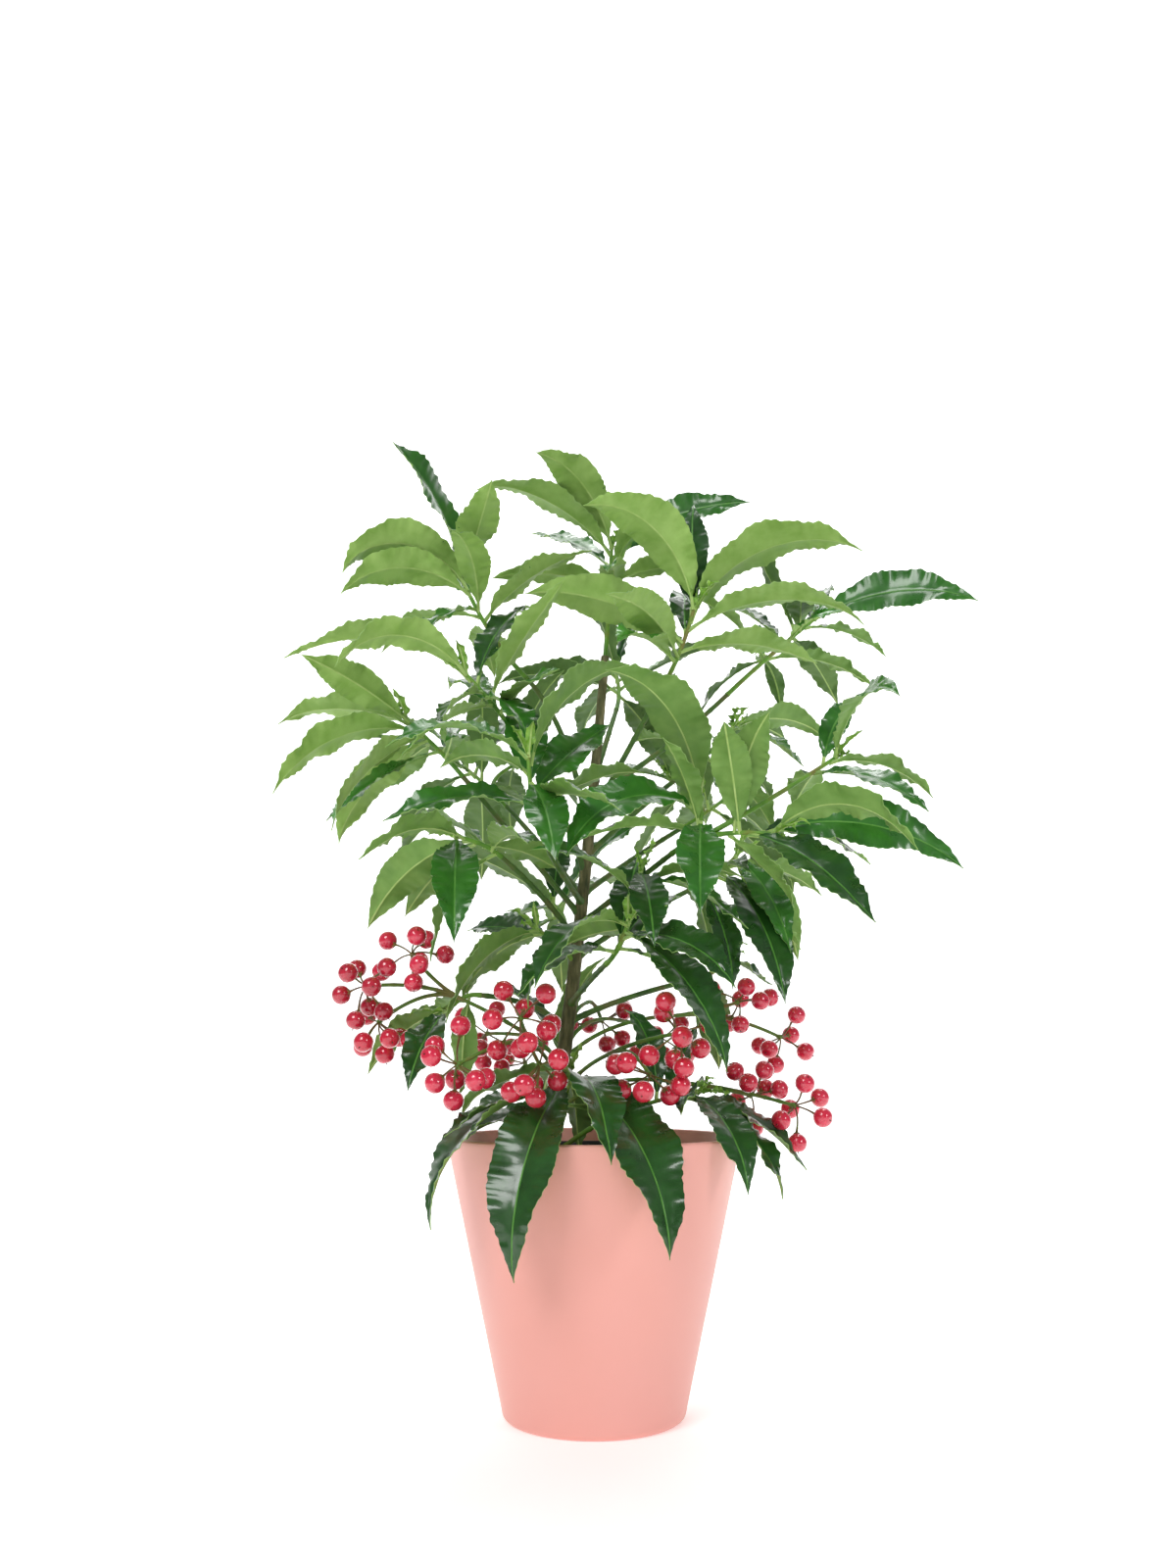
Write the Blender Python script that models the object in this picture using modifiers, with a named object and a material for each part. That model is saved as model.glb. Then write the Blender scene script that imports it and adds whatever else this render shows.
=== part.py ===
"""Potted coral ardisia: a small evergreen shrub with red berries, in a salmon planter.

One slim leaning trunk rises from the soil. Boughs leave it on all sides, and each carries a mass
of long leathery leaves. The berries hang below the leaves, in umbels on branching stalks.
Origin: the centre of the planter's flat underside. +Z is up, and -Y is the plant's front.
Sizes in this file are millimetres, and every mesh is written in metres.
"""

import math
import random
from dataclasses import dataclass, field

import bmesh
import bpy
from mathutils import Matrix, Vector
from mathutils.bvhtree import BVHTree

MM = 0.001
GAP = 0.3
OBJECT_NAME = "potted_ardisia"

# Planter, the nursery pot that stands in it, and the soil
POT_RIM_RADIUS = 65.0
POT_BASE_RADIUS = 38.3
POT_HEIGHT = 115.0
POT_WALL = 2.4
POT_FLOOR = 3.0
POT_BASE_ROUNDING = 3.5
LINER_CLEARANCE = 1.2
LINER_WALL = 1.2
LINER_TOP = 109.0
LINER_LIP = 1.6
LINER_LIP_HEIGHT = 5.0
SOIL_LEVEL = 99.0
POT_STEPS = 32
FILLING_STEPS = 24

# Trunk
TRUNK_FOOT = Vector((-20.0, 0.0, SOIL_LEVEL + GAP))
TRUNK_TOP = Vector((5.6, 0.0, 336.0))
TRUNK_BOW = 1.8
TRUNK_SWAY = 2.0
TRUNK_FOOT_RADIUS = 3.6
TRUNK_TOP_RADIUS = 1.9
ROOT_FLARE = 3.2
FLARE_HEIGHT = 5.0
TRUNK_RINGS = 16
TRUNK_RING_CROWDING = 1.35
FOOT_RING_DEPTH = 1.6

# Boughs: height on the trunk, tip, and how much of the climb comes first (0.5 is straight)
BOUGH_ROOT_RADIUS = 1.7
BOUGH_TIP_RADIUS = 1.25
BOUGH_RINGS = 5
BOUGHS = {
    "bough_upper_left": (248.5, (-32, -14, 322), 0.72),
    "bough_left": (212, (-62, -2, 278), 0.50),
    "bough_left_inner": (232, (-38, -32, 294), 0.60),
    "bough_left_low": (200, (-42, -27, 236), 0.58),
    "bough_front_left": (218, (-22, -54, 240), 0.42),
    "bough_upper_right": (257, (33, -22, 317), 0.50),
    "bough_far_right": (267, (66, 14, 322), 0.45),
    "bough_right_mid": (240, (48, 16, 286), 0.52),
    "bough_right_front": (208, (34, -49, 234), 0.50),
    "bough_right_low": (193, (48, 2, 226), 0.55),
    "bough_centre_low": (172, (6, -44, 188), 0.55),
    "bough_low_left": (158, (-52, -6, 176), 0.85),
    "bough_back_high": (275, (12, 42, 322), 0.50),
    "bough_back_left": (220.5, (-44, 42, 272), 0.52),
    "bough_back_right": (222, (46, 46, 262), 0.52),
    "bough_back_low": (183, (-14, 52, 214), 0.52),
    "bough_low_right": (164, (46, 22, 184), 0.60),
}

# Leaves
GOLDEN_ANGLE = 137.5
LOW_HALF_WIDTH = 0.156
HIGH_HALF_WIDTH = 0.136
LEAF_FOLD = 0.22
LEAF_THICKNESS = 0.0135
LEAF_PETIOLE = 0.62
LEAF_STEPS = 24
LEAF_STATIONS = {0: 0.0, 9: 1.0, 17: 0.84}
LEAF_WIDTHS = (0.9, 1.12)
LEAF_LENGTHS = (0.88, 1.1)
LEAF_DROOP = (4.0, 22.0)
LEAF_ARCH = (26.0, 62.0)
LEAF_BEND = 26.0
LEAF_ROLL = 26.0
LEAF_TWIST = 34.0
TURN_SLACK = 14.0
SPREAD_SLACK = 9.0
LEAF_TRIES = 5
LEAF_SPACING = 2.6
FIRST_LEAF_BACK = 2.2
SHOWN_SPACING = 3.0
FIRST_SHOWN_BACK = 1.2
SHOWN_SLACK = 4.0
SHOWN_FREEDOM = 0.4
YOUNG_SPREAD = 42.0
OLD_SPREAD = 88.0
YOUNG_LENGTH = 0.72
YOUNG_LEAVES = 3
SHOOT_SWEEP = 0.45
TWIG_ROOT_RADIUS = 1.45
TWIG_TIP_RADIUS = 1.25
TWIG_SIDES = 3
TWIG_RINGS = 3
STEM_LEAN = 38.0
MASS_REACH = 96.0

# Berries
BERRY_RADIUS = 4.3
PEDICEL_LENGTH = 14.5
PEDICEL_LENGTHS = (0.85, 1.12)
PEDICEL_RADIUS = 0.55
PEDICEL_OUTSET = 0.2
PEDICEL_SINK = 0.9
PEDICEL_IN_BERRY = 0.45
PEDUNCLE_RADIUS = 1.1
UMBEL_FOOT_RADIUS = 1.8
BERRY_SPACING = 2.06
BERRY_TRIES = 6
BERRY_TURN_SLACK = 25.0
BERRY_TRY_TURN = 40.0
UMBEL_FRONT = 0.9
UMBEL_BACK = -0.75
BERRY_HANG = 0.25
FORK_LIFT = 8.0


@dataclass
class Shoot:
    """One leafy shoot: where it ends, its leaves, and those that stand out one by one."""

    tip: tuple
    leaves: int
    length: float
    forks_at: float = 0.0
    phase: float = 0.0
    shown: list = field(default_factory=list)


@dataclass
class Umbel:
    """A bunch of berries that spring from one point on pedicels of like length."""

    centre: tuple
    berries: int


@dataclass
class Leaf:
    """A blade that leaves its base at a heading and a rise, and arches over along its length."""

    base: Vector
    heading: float
    rise: float
    length: float
    width: float
    arch: float
    bend: float
    roll: float
    twist: float


# Masses of leaves: what carries them (a bough, or a height on the trunk), then their shoots.
# A shown leaf is heading, rise, length, roll and arch: degrees from +X towards +Y, degrees above
# level, millimetres, degrees about its own length, and degrees that it bends down from end to end.
FOLIAGE = {
    "leaves_leader": ("top", [
        Shoot((9, 3, 393), 10, 62, phase=20, shown=[
            (236, 20, 73, 40, 85), (204, 18, 78, 10, 60), (346, 17, 76, 70, 60), (138, 30, 64, -20, 30),
            (322, 22, 54, 0, 85)]),
    ]),
    "leaves_upper_left": ("bough_upper_left", [
        Shoot((-62, -20, 369), 11, 64, phase=80, shown=[
            (287, 20, 65, 10, 20), (242, 35, 80, -80, 70), (212, -6, 76, 45, 115), (213, -12, 72, 40, 85),
            (143, 42, 60, -40, 30), (232, -34, 46, 0, 40)]),
    ]),
    "leaves_left_inner": ("bough_left_inner", [
        Shoot((-57, -42, 315), 9, 60, phase=150, shown=[
            (216, 4, 74, 25, 110), (190, 2, 88, -2, 80), (64, 44, 62, 0, 50), (249, -34, 56, 20, 40),
            (298, -34, 54, 0, 40)]),
    ]),
    "leaves_left": ("bough_left", [
        Shoot((-88, -2, 304), 10, 66, phase=10, shown=[
            (230, 15, 66, 50, 20), (172, 4, 70, 30, 50), (204, -30, 80, 25, 75), (232, -44, 78, 45, 40),
            (163, -46, 68, 30, 50)]),
    ]),
    "leaves_left_low": ("bough_left_low", [
        Shoot((-61, -36, 243), 9, 60, phase=60, shown=[
            (276, -50, 68, 0, 50), (226, -18, 60, 20, 70), (150, -34, 70, 30, 60), (132, -28, 62, 40, 30),
            (40, -12, 48, -20, 40)]),
    ]),
    "leaves_front_left": ("bough_front_left", [
        Shoot((-27, -76, 270), 9, 60, phase=120, shown=[
            (208, -4, 66, -35, 75), (33, 44, 76, -30, 60), (140, 12, 56, 30, 50), (284, -42, 62, 0, 30),
            (104, 54, 60, 0, 30), (48, 38, 64, 20, 20)]),
    ]),
    "leaves_upper_right": ("bough_upper_right", [
        Shoot((46, -30, 350), 10, 68, phase=200, shown=[
            (220, 24, 84, 30, 110), (80, 76, 66, 0, 10), (344, 17, 96, -25, 100), (350, -1, 86, -12, 70),
            (84, 40, 60, 0, 40), (188, 15, 78, 45, 45)]),
    ]),
    "leaves_far_right": ("bough_far_right", [
        Shoot((111, 22, 363), 8, 58, phase=250, shown=[
            (341, 0, 82, 78, 55), (62, 38, 52, 0, 40), (22, -12, 50, 25, 50), (262, 2, 48, 0, 30)]),
        Shoot((86, 36, 346), 5, 56, forks_at=0.35, phase=300),
    ]),
    "leaves_right_mid": ("bough_right_mid", [
        Shoot((68, 20, 306), 8, 62, phase=30, shown=[
            (30, 2, 64, -30, 60), (302, -28, 62, 0, 50), (50, 10, 62, -30, 50)]),
    ]),
    "leaves_right_front": ("bough_right_front", [
        Shoot((73, -75, 237), 7, 60, phase=90, shown=[
            (322, -14, 72, -45, 105), (4, -10, 88, 65, 60), (22, -8, 62, 20, 50), (313, -36, 74, 30, 40),
            (256, 40, 58, 0, 50)]),
        Shoot((105, -45, 276), 5, 52, forks_at=0.25, phase=140, shown=[
            (288, 14, 64, 30, 100), (10, -18, 52, -10, 65), (44, 50, 46, 50, 50)]),
        Shoot((44, -63, 254), 5, 60, forks_at=0.20, phase=180, shown=[
            (212, 48, 82, 0, 95), (206, -22, 74, -35, 95), (264, -46, 62, 0, 40), (240, 44, 46, 0, 30)]),
    ]),
    "leaves_right_low": ("bough_right_low", [
        Shoot((66, 0, 240), 8, 60, phase=45, shown=[
            (302, -52, 62, 20, 50), (38, -46, 66, -30, 70), (20, -26, 60, 0, 50), (298, -54, 80, 15, 50)]),
    ]),
    "leaves_centre_low": ("bough_centre_low", [
        Shoot((14, -62, 203), 7, 58, phase=15, shown=[
            (229, -30, 66, 20, 85), (323, -50, 76, 15, 50), (318, -22, 64, 20, 60), (80, 44, 50, 0, 20)]),
        Shoot((20, -42, 228), 4, 52, forks_at=0.3, phase=75, shown=[
            (272, -44, 56, 0, 40), (330, -28, 56, 20, 50)]),
    ]),
    "leaves_left_fall": (194, [
        Shoot((-26, -14, 205), 6, 58, phase=190, shown=[(220, -42, 66, 45, 60), (140, -28, 60, 30, 50)]),
    ]),
    "leaves_pot_front": (112, [
        Shoot((-10, -33, 142), 7, 60, phase=240, shown=[
            (243, -58, 98, 0, 78), (309, -47, 98, 0, 80), (287, -28, 74, 0, 110), (214, -39, 92, 0, 88),
            (226, -16, 62, 0, 60)]),
    ]),
    "leaves_right_foot": (110, [
        Shoot((46, -12, 134), 7, 50, phase=0, shown=[
            (256, -10, 46, 30, 50), (298, -42, 62, 0, 70), (335, -42, 64, 0, 60), (352, -32, 66, 0, 60),
            (60, 38, 42, 0, 20)]),
    ]),
    "leaves_left_foot": ("bough_low_left", [
        Shoot((-66, -6, 168), 5, 48, phase=100, shown=[(252, -42, 52, 0, 40), (158, -34, 54, 20, 40)]),
    ]),
    "leaves_back_high": ("bough_back_high", [Shoot((12, 62, 348), 8, 66, phase=70)]),
    "leaves_back_left": ("bough_back_left", [
        Shoot((-66, 66, 296), 8, 68, phase=130),
        Shoot((-30, 78, 306), 5, 62, forks_at=0.2, phase=20),
    ]),
    "leaves_back_right": ("bough_back_right", [
        Shoot((74, 66, 284), 8, 68, phase=215),
        Shoot((40, 86, 296), 5, 62, forks_at=0.2, phase=60),
    ]),
    "leaves_back_low": ("bough_back_low", [Shoot((-22, 82, 228), 8, 64, phase=310)]),
    "leaves_back_foot": (134, [Shoot((-14, 40, 150), 7, 56, phase=95)]),
    "leaves_low_right": ("bough_low_right", [Shoot((66, 34, 196), 6, 54, phase=260)]),
}

# Masses of berries: what carries them, how far out their stalk forks, and their umbels
BERRIES = {
    "berries_left": (150, 0.55, [
        Umbel((-80, -18, 193), 8), Umbel((-99, -22, 179), 8), Umbel((-94, -16, 164), 7)]),
    "berries_front": (140, 0.45, [
        Umbel((-30, -58, 164), 7), Umbel((-55, -56, 146), 8), Umbel((-22, -64, 146), 8)]),
    "berries_middle": (135, 0.5, [
        Umbel((33, -60, 158), 8), Umbel((22, -58, 142), 7)]),
    "berries_behind": (166, 0.5, [Umbel((4, 44, 166), 6)]),
    "berries_right": (152, 0.55, [Umbel((68, 26, 174), 7), Umbel((88, 30, 158), 6)]),
    "berries_right_low": (129, 0.55, [Umbel((70, 2, 132), 7), Umbel((88, -6, 128), 7)]),
    "berries_back_left": (146, 0.5, [Umbel((-52, 52, 160), 6), Umbel((-34, 66, 146), 5)]),
    "berries_back_right": (158, 0.5, [Umbel((34, 66, 158), 6)]),
}


def clear_scene():
    """Start from an empty file without reloading it."""
    for stale in list(bpy.data.objects):
        bpy.data.objects.remove(stale, do_unlink=True)


def new_collection(name):
    collection = bpy.data.collections.new(name)
    bpy.context.scene.collection.children.link(collection)
    return collection


def make_material(name, rgb, roughness):
    """One plain Principled material, named for the part that wears it."""
    material = bpy.data.materials.new(name)
    material.use_nodes = True
    shader = material.node_tree.nodes["Principled BSDF"]
    shader.inputs["Base Color"].default_value = (*rgb, 1.0)
    shader.inputs["Roughness"].default_value = roughness
    shader.inputs["Metallic"].default_value = 0.0
    return material


def blend(low, high, amount):
    return low + (high - low) * amount


def bezier(start, control, end, t):
    """A point on the quadratic curve from start to end."""
    return start * (1 - t) ** 2 + control * (2 * t * (1 - t)) + end * t ** 2


def trunk_share(height):
    return (height - TRUNK_FOOT.z) / (TRUNK_TOP.z - TRUNK_FOOT.z)


def trunk_point(height):
    """The trunk leans to the right, bowed a little, with a slight sway from back to front."""
    share = trunk_share(height)
    point = TRUNK_FOOT.lerp(TRUNK_TOP, share)
    point.x += TRUNK_BOW * math.sin(math.pi * share)
    point.y += TRUNK_SWAY * math.sin(2 * math.pi * share)
    return point


def trunk_radius(height):
    taper = blend(TRUNK_FOOT_RADIUS, TRUNK_TOP_RADIUS, trunk_share(height))
    return taper + ROOT_FLARE * math.exp(-(height - TRUNK_FOOT.z) / FLARE_HEIGHT)


def bough_curve(name):
    """Start, control and end of a bough, which climbs first where its steepness is over a half."""
    height, tip, steep = BOUGHS[name]
    start = trunk_point(height)
    end = Vector(tip)
    control = Vector((
        blend(start.x, end.x, 1 - steep),
        blend(start.y, end.y, 1 - steep),
        blend(start.z, end.z, steep),
    ))
    return start, control, end


def limb(name, points, radii, resolution):
    """A tapering round limb: a curve with a bevel and filled caps, made a closed mesh."""
    curve = bpy.data.curves.new(name, "CURVE")
    curve.dimensions = "3D"
    curve.bevel_depth = 1.0
    curve.bevel_resolution = resolution
    curve.use_fill_caps = True
    spline = curve.splines.new("POLY")
    spline.points.add(len(points) - 1)
    for spot, point, radius in zip(spline.points, points, radii):
        spot.co = (*(point * MM), 1.0)
        spot.radius = radius * MM
    guide = bpy.data.objects.new(name + "_curve", curve)
    bpy.context.scene.collection.objects.link(guide)
    bpy.context.view_layer.update()
    evaluated = guide.evaluated_get(bpy.context.evaluated_depsgraph_get())
    mesh = bpy.data.meshes.new_from_object(evaluated)
    bpy.data.objects.remove(guide, do_unlink=True)
    close_mesh(mesh)
    return bpy.data.objects.new(name, mesh)


def close_mesh(mesh):
    """Weld loose caps on and turn every face outwards."""
    work = bmesh.new()
    work.from_mesh(mesh)
    bmesh.ops.remove_doubles(work, verts=work.verts, dist=0.00001)
    bmesh.ops.recalc_face_normals(work, faces=work.faces)
    work.to_mesh(mesh)
    work.free()


def mesh_object(name, verts, faces):
    """A mesh object in metres from corners in millimetres."""
    mesh = bpy.data.meshes.new(name)
    mesh.from_pydata([vert * MM for vert in verts], [], faces)
    close_mesh(mesh)
    return bpy.data.objects.new(name, mesh)


def finish(part, collection, material):
    """Put a part in the object's collection, in its own material and shaded smooth."""
    part.data.materials.clear()
    part.data.materials.append(material)
    part.data.shade_smooth()
    part.data.set_sharp_from_angle(angle=math.radians(35))
    collection.objects.link(part)
    return part


def turned(name, profile, steps):
    """A solid of revolution from a profile that runs down its outer side."""
    mesh = bpy.data.meshes.new(name)
    verts = [(radius * MM, 0.0, height * MM) for radius, height in profile]
    edges = [(index, index + 1) for index in range(len(profile) - 1)]
    mesh.from_pydata(verts, edges, [])
    part = bpy.data.objects.new(name, mesh)
    screw = part.modifiers.new("turn", "SCREW")
    screw.axis = "Z"
    screw.angle = 2 * math.pi
    screw.steps = steps
    screw.render_steps = steps
    screw.use_merge_vertices = True
    screw.merge_threshold = 0.0001
    screw.use_smooth_shade = True
    return part


def arc_profile(centre, radius, first, last, count):
    """Points of a rounded corner, from one angle to another."""
    angles = [math.radians(blend(first, last, index / (count - 1))) for index in range(count)]
    return [(centre[0] + radius * math.cos(a), centre[1] + radius * math.sin(a)) for a in angles]


def pot_radius(height):
    """Outer radius of the planter's straight tapered wall."""
    return blend(POT_BASE_RADIUS, POT_RIM_RADIUS, height / POT_HEIGHT)


def make_pot():
    lip = POT_WALL / 2
    rim = arc_profile((POT_RIM_RADIUS - lip, POT_HEIGHT - lip), lip, 180, 0, 5)
    corner_radius = pot_radius(POT_BASE_ROUNDING) - POT_BASE_ROUNDING
    corner = arc_profile((corner_radius, POT_BASE_ROUNDING), POT_BASE_ROUNDING, 0, -90, 4)
    profile = [(0, POT_FLOOR), (pot_radius(POT_FLOOR) - POT_WALL, POT_FLOOR)]
    profile += rim + corner + [(0, 0)]
    return turned("planter", profile, POT_STEPS)


def liner_radius(height):
    return pot_radius(height) - POT_WALL - LINER_CLEARANCE


def make_liner():
    """The dark nursery pot that stands in the planter, with a thicker band at its rim."""
    bottom = POT_FLOOR + GAP
    band = LINER_TOP - LINER_LIP_HEIGHT
    profile = [
        (0, bottom + LINER_WALL),
        (liner_radius(bottom) - LINER_WALL - LINER_LIP, bottom + LINER_WALL),
        (liner_radius(LINER_TOP) - LINER_WALL - LINER_LIP, LINER_TOP),
        (liner_radius(LINER_TOP), LINER_TOP),
        (liner_radius(band), band),
        (liner_radius(band) - LINER_LIP, band),
        (liner_radius(bottom) - LINER_LIP, bottom),
        (0, bottom),
    ]
    return turned("nursery_pot", profile, FILLING_STEPS)


def make_soil():
    bottom = POT_FLOOR + 2 * GAP + LINER_WALL
    inset = LINER_WALL + LINER_LIP + GAP
    profile = [
        (0, SOIL_LEVEL),
        (liner_radius(SOIL_LEVEL) - inset, SOIL_LEVEL),
        (liner_radius(bottom) - inset, bottom),
        (0, bottom),
    ]
    return turned("soil", profile, FILLING_STEPS)


def trunk_mesh(name, extra):
    """The trunk as one limb, or its cutter where extra makes it fatter and longer at the foot."""
    heights = []
    for ring in range(TRUNK_RINGS):
        share = (ring / (TRUNK_RINGS - 1)) ** TRUNK_RING_CROWDING
        heights.append(blend(TRUNK_FOOT.z, TRUNK_TOP.z, share))
    points = [trunk_point(height) for height in heights]
    radii = [trunk_radius(height) + extra for height in heights]
    return limb(name, points, radii, 3)


def make_trunk(collection, material):
    trunk = trunk_mesh("trunk", 0.0)
    flatten_foot(trunk)
    return finish(trunk, collection, material)


def flatten_foot(trunk):
    """Lay the lowest ring level, so that the trunk is cut flat at the soil."""
    floor = TRUNK_FOOT.z * MM
    ring_depth = min(vert.co.z for vert in trunk.data.vertices) + FOOT_RING_DEPTH * MM
    for vert in trunk.data.vertices:
        if vert.co.z < ring_depth:
            vert.co.z = floor


def cut(part, cutter, operation):
    """Apply one exact Boolean with a single cutter."""
    bpy.context.scene.collection.objects.link(part)
    bpy.context.scene.collection.objects.link(cutter)
    boolean = part.modifiers.new("cut", "BOOLEAN")
    boolean.operation = operation
    boolean.object = cutter
    boolean.solver = "EXACT"
    bpy.context.view_layer.update()
    evaluated = part.evaluated_get(bpy.context.evaluated_depsgraph_get())
    mesh = bpy.data.meshes.new_from_object(evaluated)
    part.modifiers.clear()
    part.data = mesh
    bpy.context.scene.collection.objects.unlink(part)
    bpy.context.scene.collection.objects.unlink(cutter)
    close_mesh(mesh)
    return part


def make_boughs(collection, cutters, material):
    """Each bough is one tapering limb, cut GAP clear of the trunk that it grows from."""
    cutter = trunk_mesh("trunk_cutter", GAP)
    boughs = {}
    for name in BOUGHS:
        start, control, end = bough_curve(name)
        shares = [ring / (BOUGH_RINGS - 1) for ring in range(BOUGH_RINGS)]
        points = [bezier(start, control, end, share) for share in shares]
        radii = [blend(BOUGH_ROOT_RADIUS, BOUGH_TIP_RADIUS, share) for share in shares]
        bough = limb(name, points, radii, 1)
        boughs[name] = finish(cut(bough, cutter, "DIFFERENCE"), collection, material)
    cutters.objects.link(cutter)
    cutter.hide_render = True
    cutter.display_type = "WIRE"
    return boughs


def loft(rings, tip=None):
    """Corners and faces of a closed skin through rings of equal count, ending in a tip or a cap.

    The diagonals of even and odd sides mirror each other, so that the upper and the under side of
    a thin blade bend along the same lines and never cross.
    """
    count = len(rings[0])
    verts = [point for ring in rings for point in ring]
    faces = [tuple(reversed(range(count)))]
    for ring in range(len(rings) - 1):
        low = ring * count
        high = low + count
        for side in range(count):
            after = (side + 1) % count
            if side % 2 == 0:
                faces.append((low + side, low + after, high + side))
                faces.append((low + after, high + after, high + side))
            else:
                faces.append((low + side, low + after, high + after))
                faces.append((low + side, high + after, high + side))
    last = (len(rings) - 1) * count
    if tip is None:
        faces.append(tuple(range(last, last + count)))
    else:
        verts.append(tip)
        faces += [(last + side, last + (side + 1) % count, len(verts) - 1) for side in range(count)]
    return verts, faces


def side_axes(direction):
    """Two unit vectors square to a direction and to each other."""
    reference = Vector((0, 0, 1)) if abs(direction.z) < 0.9 else Vector((1, 0, 0))
    across = direction.cross(reference).normalized()
    return across, across.cross(direction).normalized()


def tube(points, radii, sides):
    """A tapering twig through points, as a closed loft."""
    rings = []
    for index, (point, radius) in enumerate(zip(points, radii)):
        before = points[max(index - 1, 0)]
        after = points[min(index + 1, len(points) - 1)]
        across, up = side_axes((after - before).normalized())
        angles = [2 * math.pi * side / sides for side in range(sides)]
        rings.append([point + (across * math.cos(a) + up * math.sin(a)) * radius for a in angles])
    return loft(rings)


def leaf_frames(leaf):
    """Centre line of a leaf: at each step its point, the way across it and its upper side."""
    point = leaf.base.copy()
    frames = []
    for step in range(LEAF_STEPS + 1):
        share = step / LEAF_STEPS
        heading = math.radians(leaf.heading + leaf.bend * (share - 0.5))
        rise = math.radians(leaf.rise + leaf.arch * (0.5 - share))
        along = Vector((
            math.cos(rise) * math.cos(heading),
            math.cos(rise) * math.sin(heading),
            math.sin(rise),
        ))
        level = Vector((-math.sin(heading), math.cos(heading), 0.0))
        turn = Matrix.Rotation(math.radians(leaf.roll + leaf.twist * share), 3, along)
        across = turn @ level
        frames.append((point.copy(), across, along.cross(across)))
        point += along * (leaf.length / LEAF_STEPS)
    return frames


def leaf_skin(leaf, extra=0.0):
    """The leaf as a thin folded blade of four-cornered sections, from its sunk root to its tip."""
    frames = leaf_frames(leaf)
    half_depth = leaf.length * LEAF_THICKNESS / 2 + extra
    rings = []
    for step, fullness in LEAF_STATIONS.items():
        point, across, upper = frames[step]
        half = max(leaf.width * fullness, LEAF_PETIOLE) + extra
        lift = upper * (LEAF_FOLD * leaf.width * fullness)
        rings.append([
            point + across * half + lift,
            point + upper * half_depth,
            point - across * half + lift,
            point - upper * half_depth,
        ])
    return loft(rings, frames[-1][0])


def ball_skin(centre, radius):
    """A berry as a coarse ball."""
    work = bmesh.new()
    bmesh.ops.create_icosphere(work, subdivisions=1, radius=radius)
    verts = [vert.co + centre for vert in work.verts]
    faces = [tuple(vert.index for vert in face.verts) for face in work.faces]
    work.free()
    return verts, faces


def shoot_path(start, direction, tip):
    """Points of a shoot that sets out along a direction and curves to its tip."""
    end = Vector(tip)
    control = start + direction * ((end - start).length * SHOOT_SWEEP)
    shares = [ring / TWIG_RINGS for ring in range(TWIG_RINGS + 1)]
    return [bezier(start, control, end, share) for share in shares]


def along_path(points, share):
    """The point a share of the way along a row of points, and the direction there."""
    place = min(max(share, 0.0), 0.9999) * (len(points) - 1)
    index = int(place)
    step = points[index + 1] - points[index]
    return points[index] + step * (place - index), step.normalized()


def mass_foot(carrier, towards):
    """Where a mass's stem starts, GAP clear of the limb that carries it, and its direction."""
    if carrier == "top":
        direction = (trunk_point(TRUNK_TOP.z) - trunk_point(TRUNK_TOP.z - 5)).normalized()
        return TRUNK_TOP + direction * GAP, direction
    if isinstance(carrier, str):
        start, control, end = bough_curve(carrier)
        direction = (end - control).normalized()
        return end + direction * GAP, direction
    axis = trunk_point(carrier)
    outwards = Vector(towards) - axis
    outwards.z = 0.0
    outwards.normalize()
    lean = math.radians(STEM_LEAN)
    clear = trunk_radius(carrier) + GAP + TWIG_ROOT_RADIUS * math.sin(lean) + GAP
    direction = outwards * math.cos(lean) + Vector((0, 0, math.sin(lean)))
    return axis + outwards * clear, direction


def rule_leaf(name, shoot, points, index, attempt):
    """Leaf number index of a shoot: a golden-angle spiral, upright at the tip, spread lower down."""
    rng = random.Random(f"{name} leaf {index} try {attempt}")
    total = sum((b - a).length for a, b in zip(points, points[1:]))
    back = FIRST_LEAF_BACK + LEAF_SPACING * index
    base, axis = along_path(points, 1 - back / total)
    across, up = side_axes(axis)
    turn = math.radians(shoot.phase + index * GOLDEN_ANGLE + rng.uniform(-TURN_SLACK, TURN_SLACK))
    spread = blend(YOUNG_SPREAD, OLD_SPREAD, index / shoot.leaves)
    spread = math.radians(spread + rng.uniform(-SPREAD_SLACK, SPREAD_SLACK))
    outwards = across * math.cos(turn) + up * math.sin(turn)
    chord = axis * math.cos(spread) + outwards * math.sin(spread)
    heading = math.degrees(math.atan2(chord.y, chord.x))
    rise = math.degrees(math.asin(chord.z)) - rng.uniform(*LEAF_DROOP)
    age = min(index / YOUNG_LEAVES, 1.0)
    length = shoot.length * blend(YOUNG_LENGTH, 1.0, age) * rng.uniform(*LEAF_LENGTHS)
    return drawn_leaf(rng, base, heading, rise, length, 1.0)


def shown_leaf(name, shoot, points, index, attempt):
    """A leaf that stands out, at its own heading and rise, turned a little if it must give way."""
    rng = random.Random(f"{name} shown {index} try {attempt}")
    heading, rise, length, roll, arch = shoot.shown[index]
    total = sum((b - a).length for a, b in zip(points, points[1:]))
    base, _ = along_path(points, 1 - (FIRST_SHOWN_BACK + SHOWN_SPACING * index) / total)
    slack = SHOWN_SLACK * attempt
    heading += rng.uniform(-slack, slack)
    rise += rng.uniform(-slack, slack)
    leaf = drawn_leaf(rng, base, heading, rise, length, SHOWN_FREEDOM)
    leaf.roll += roll
    leaf.arch = arch
    return leaf


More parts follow.
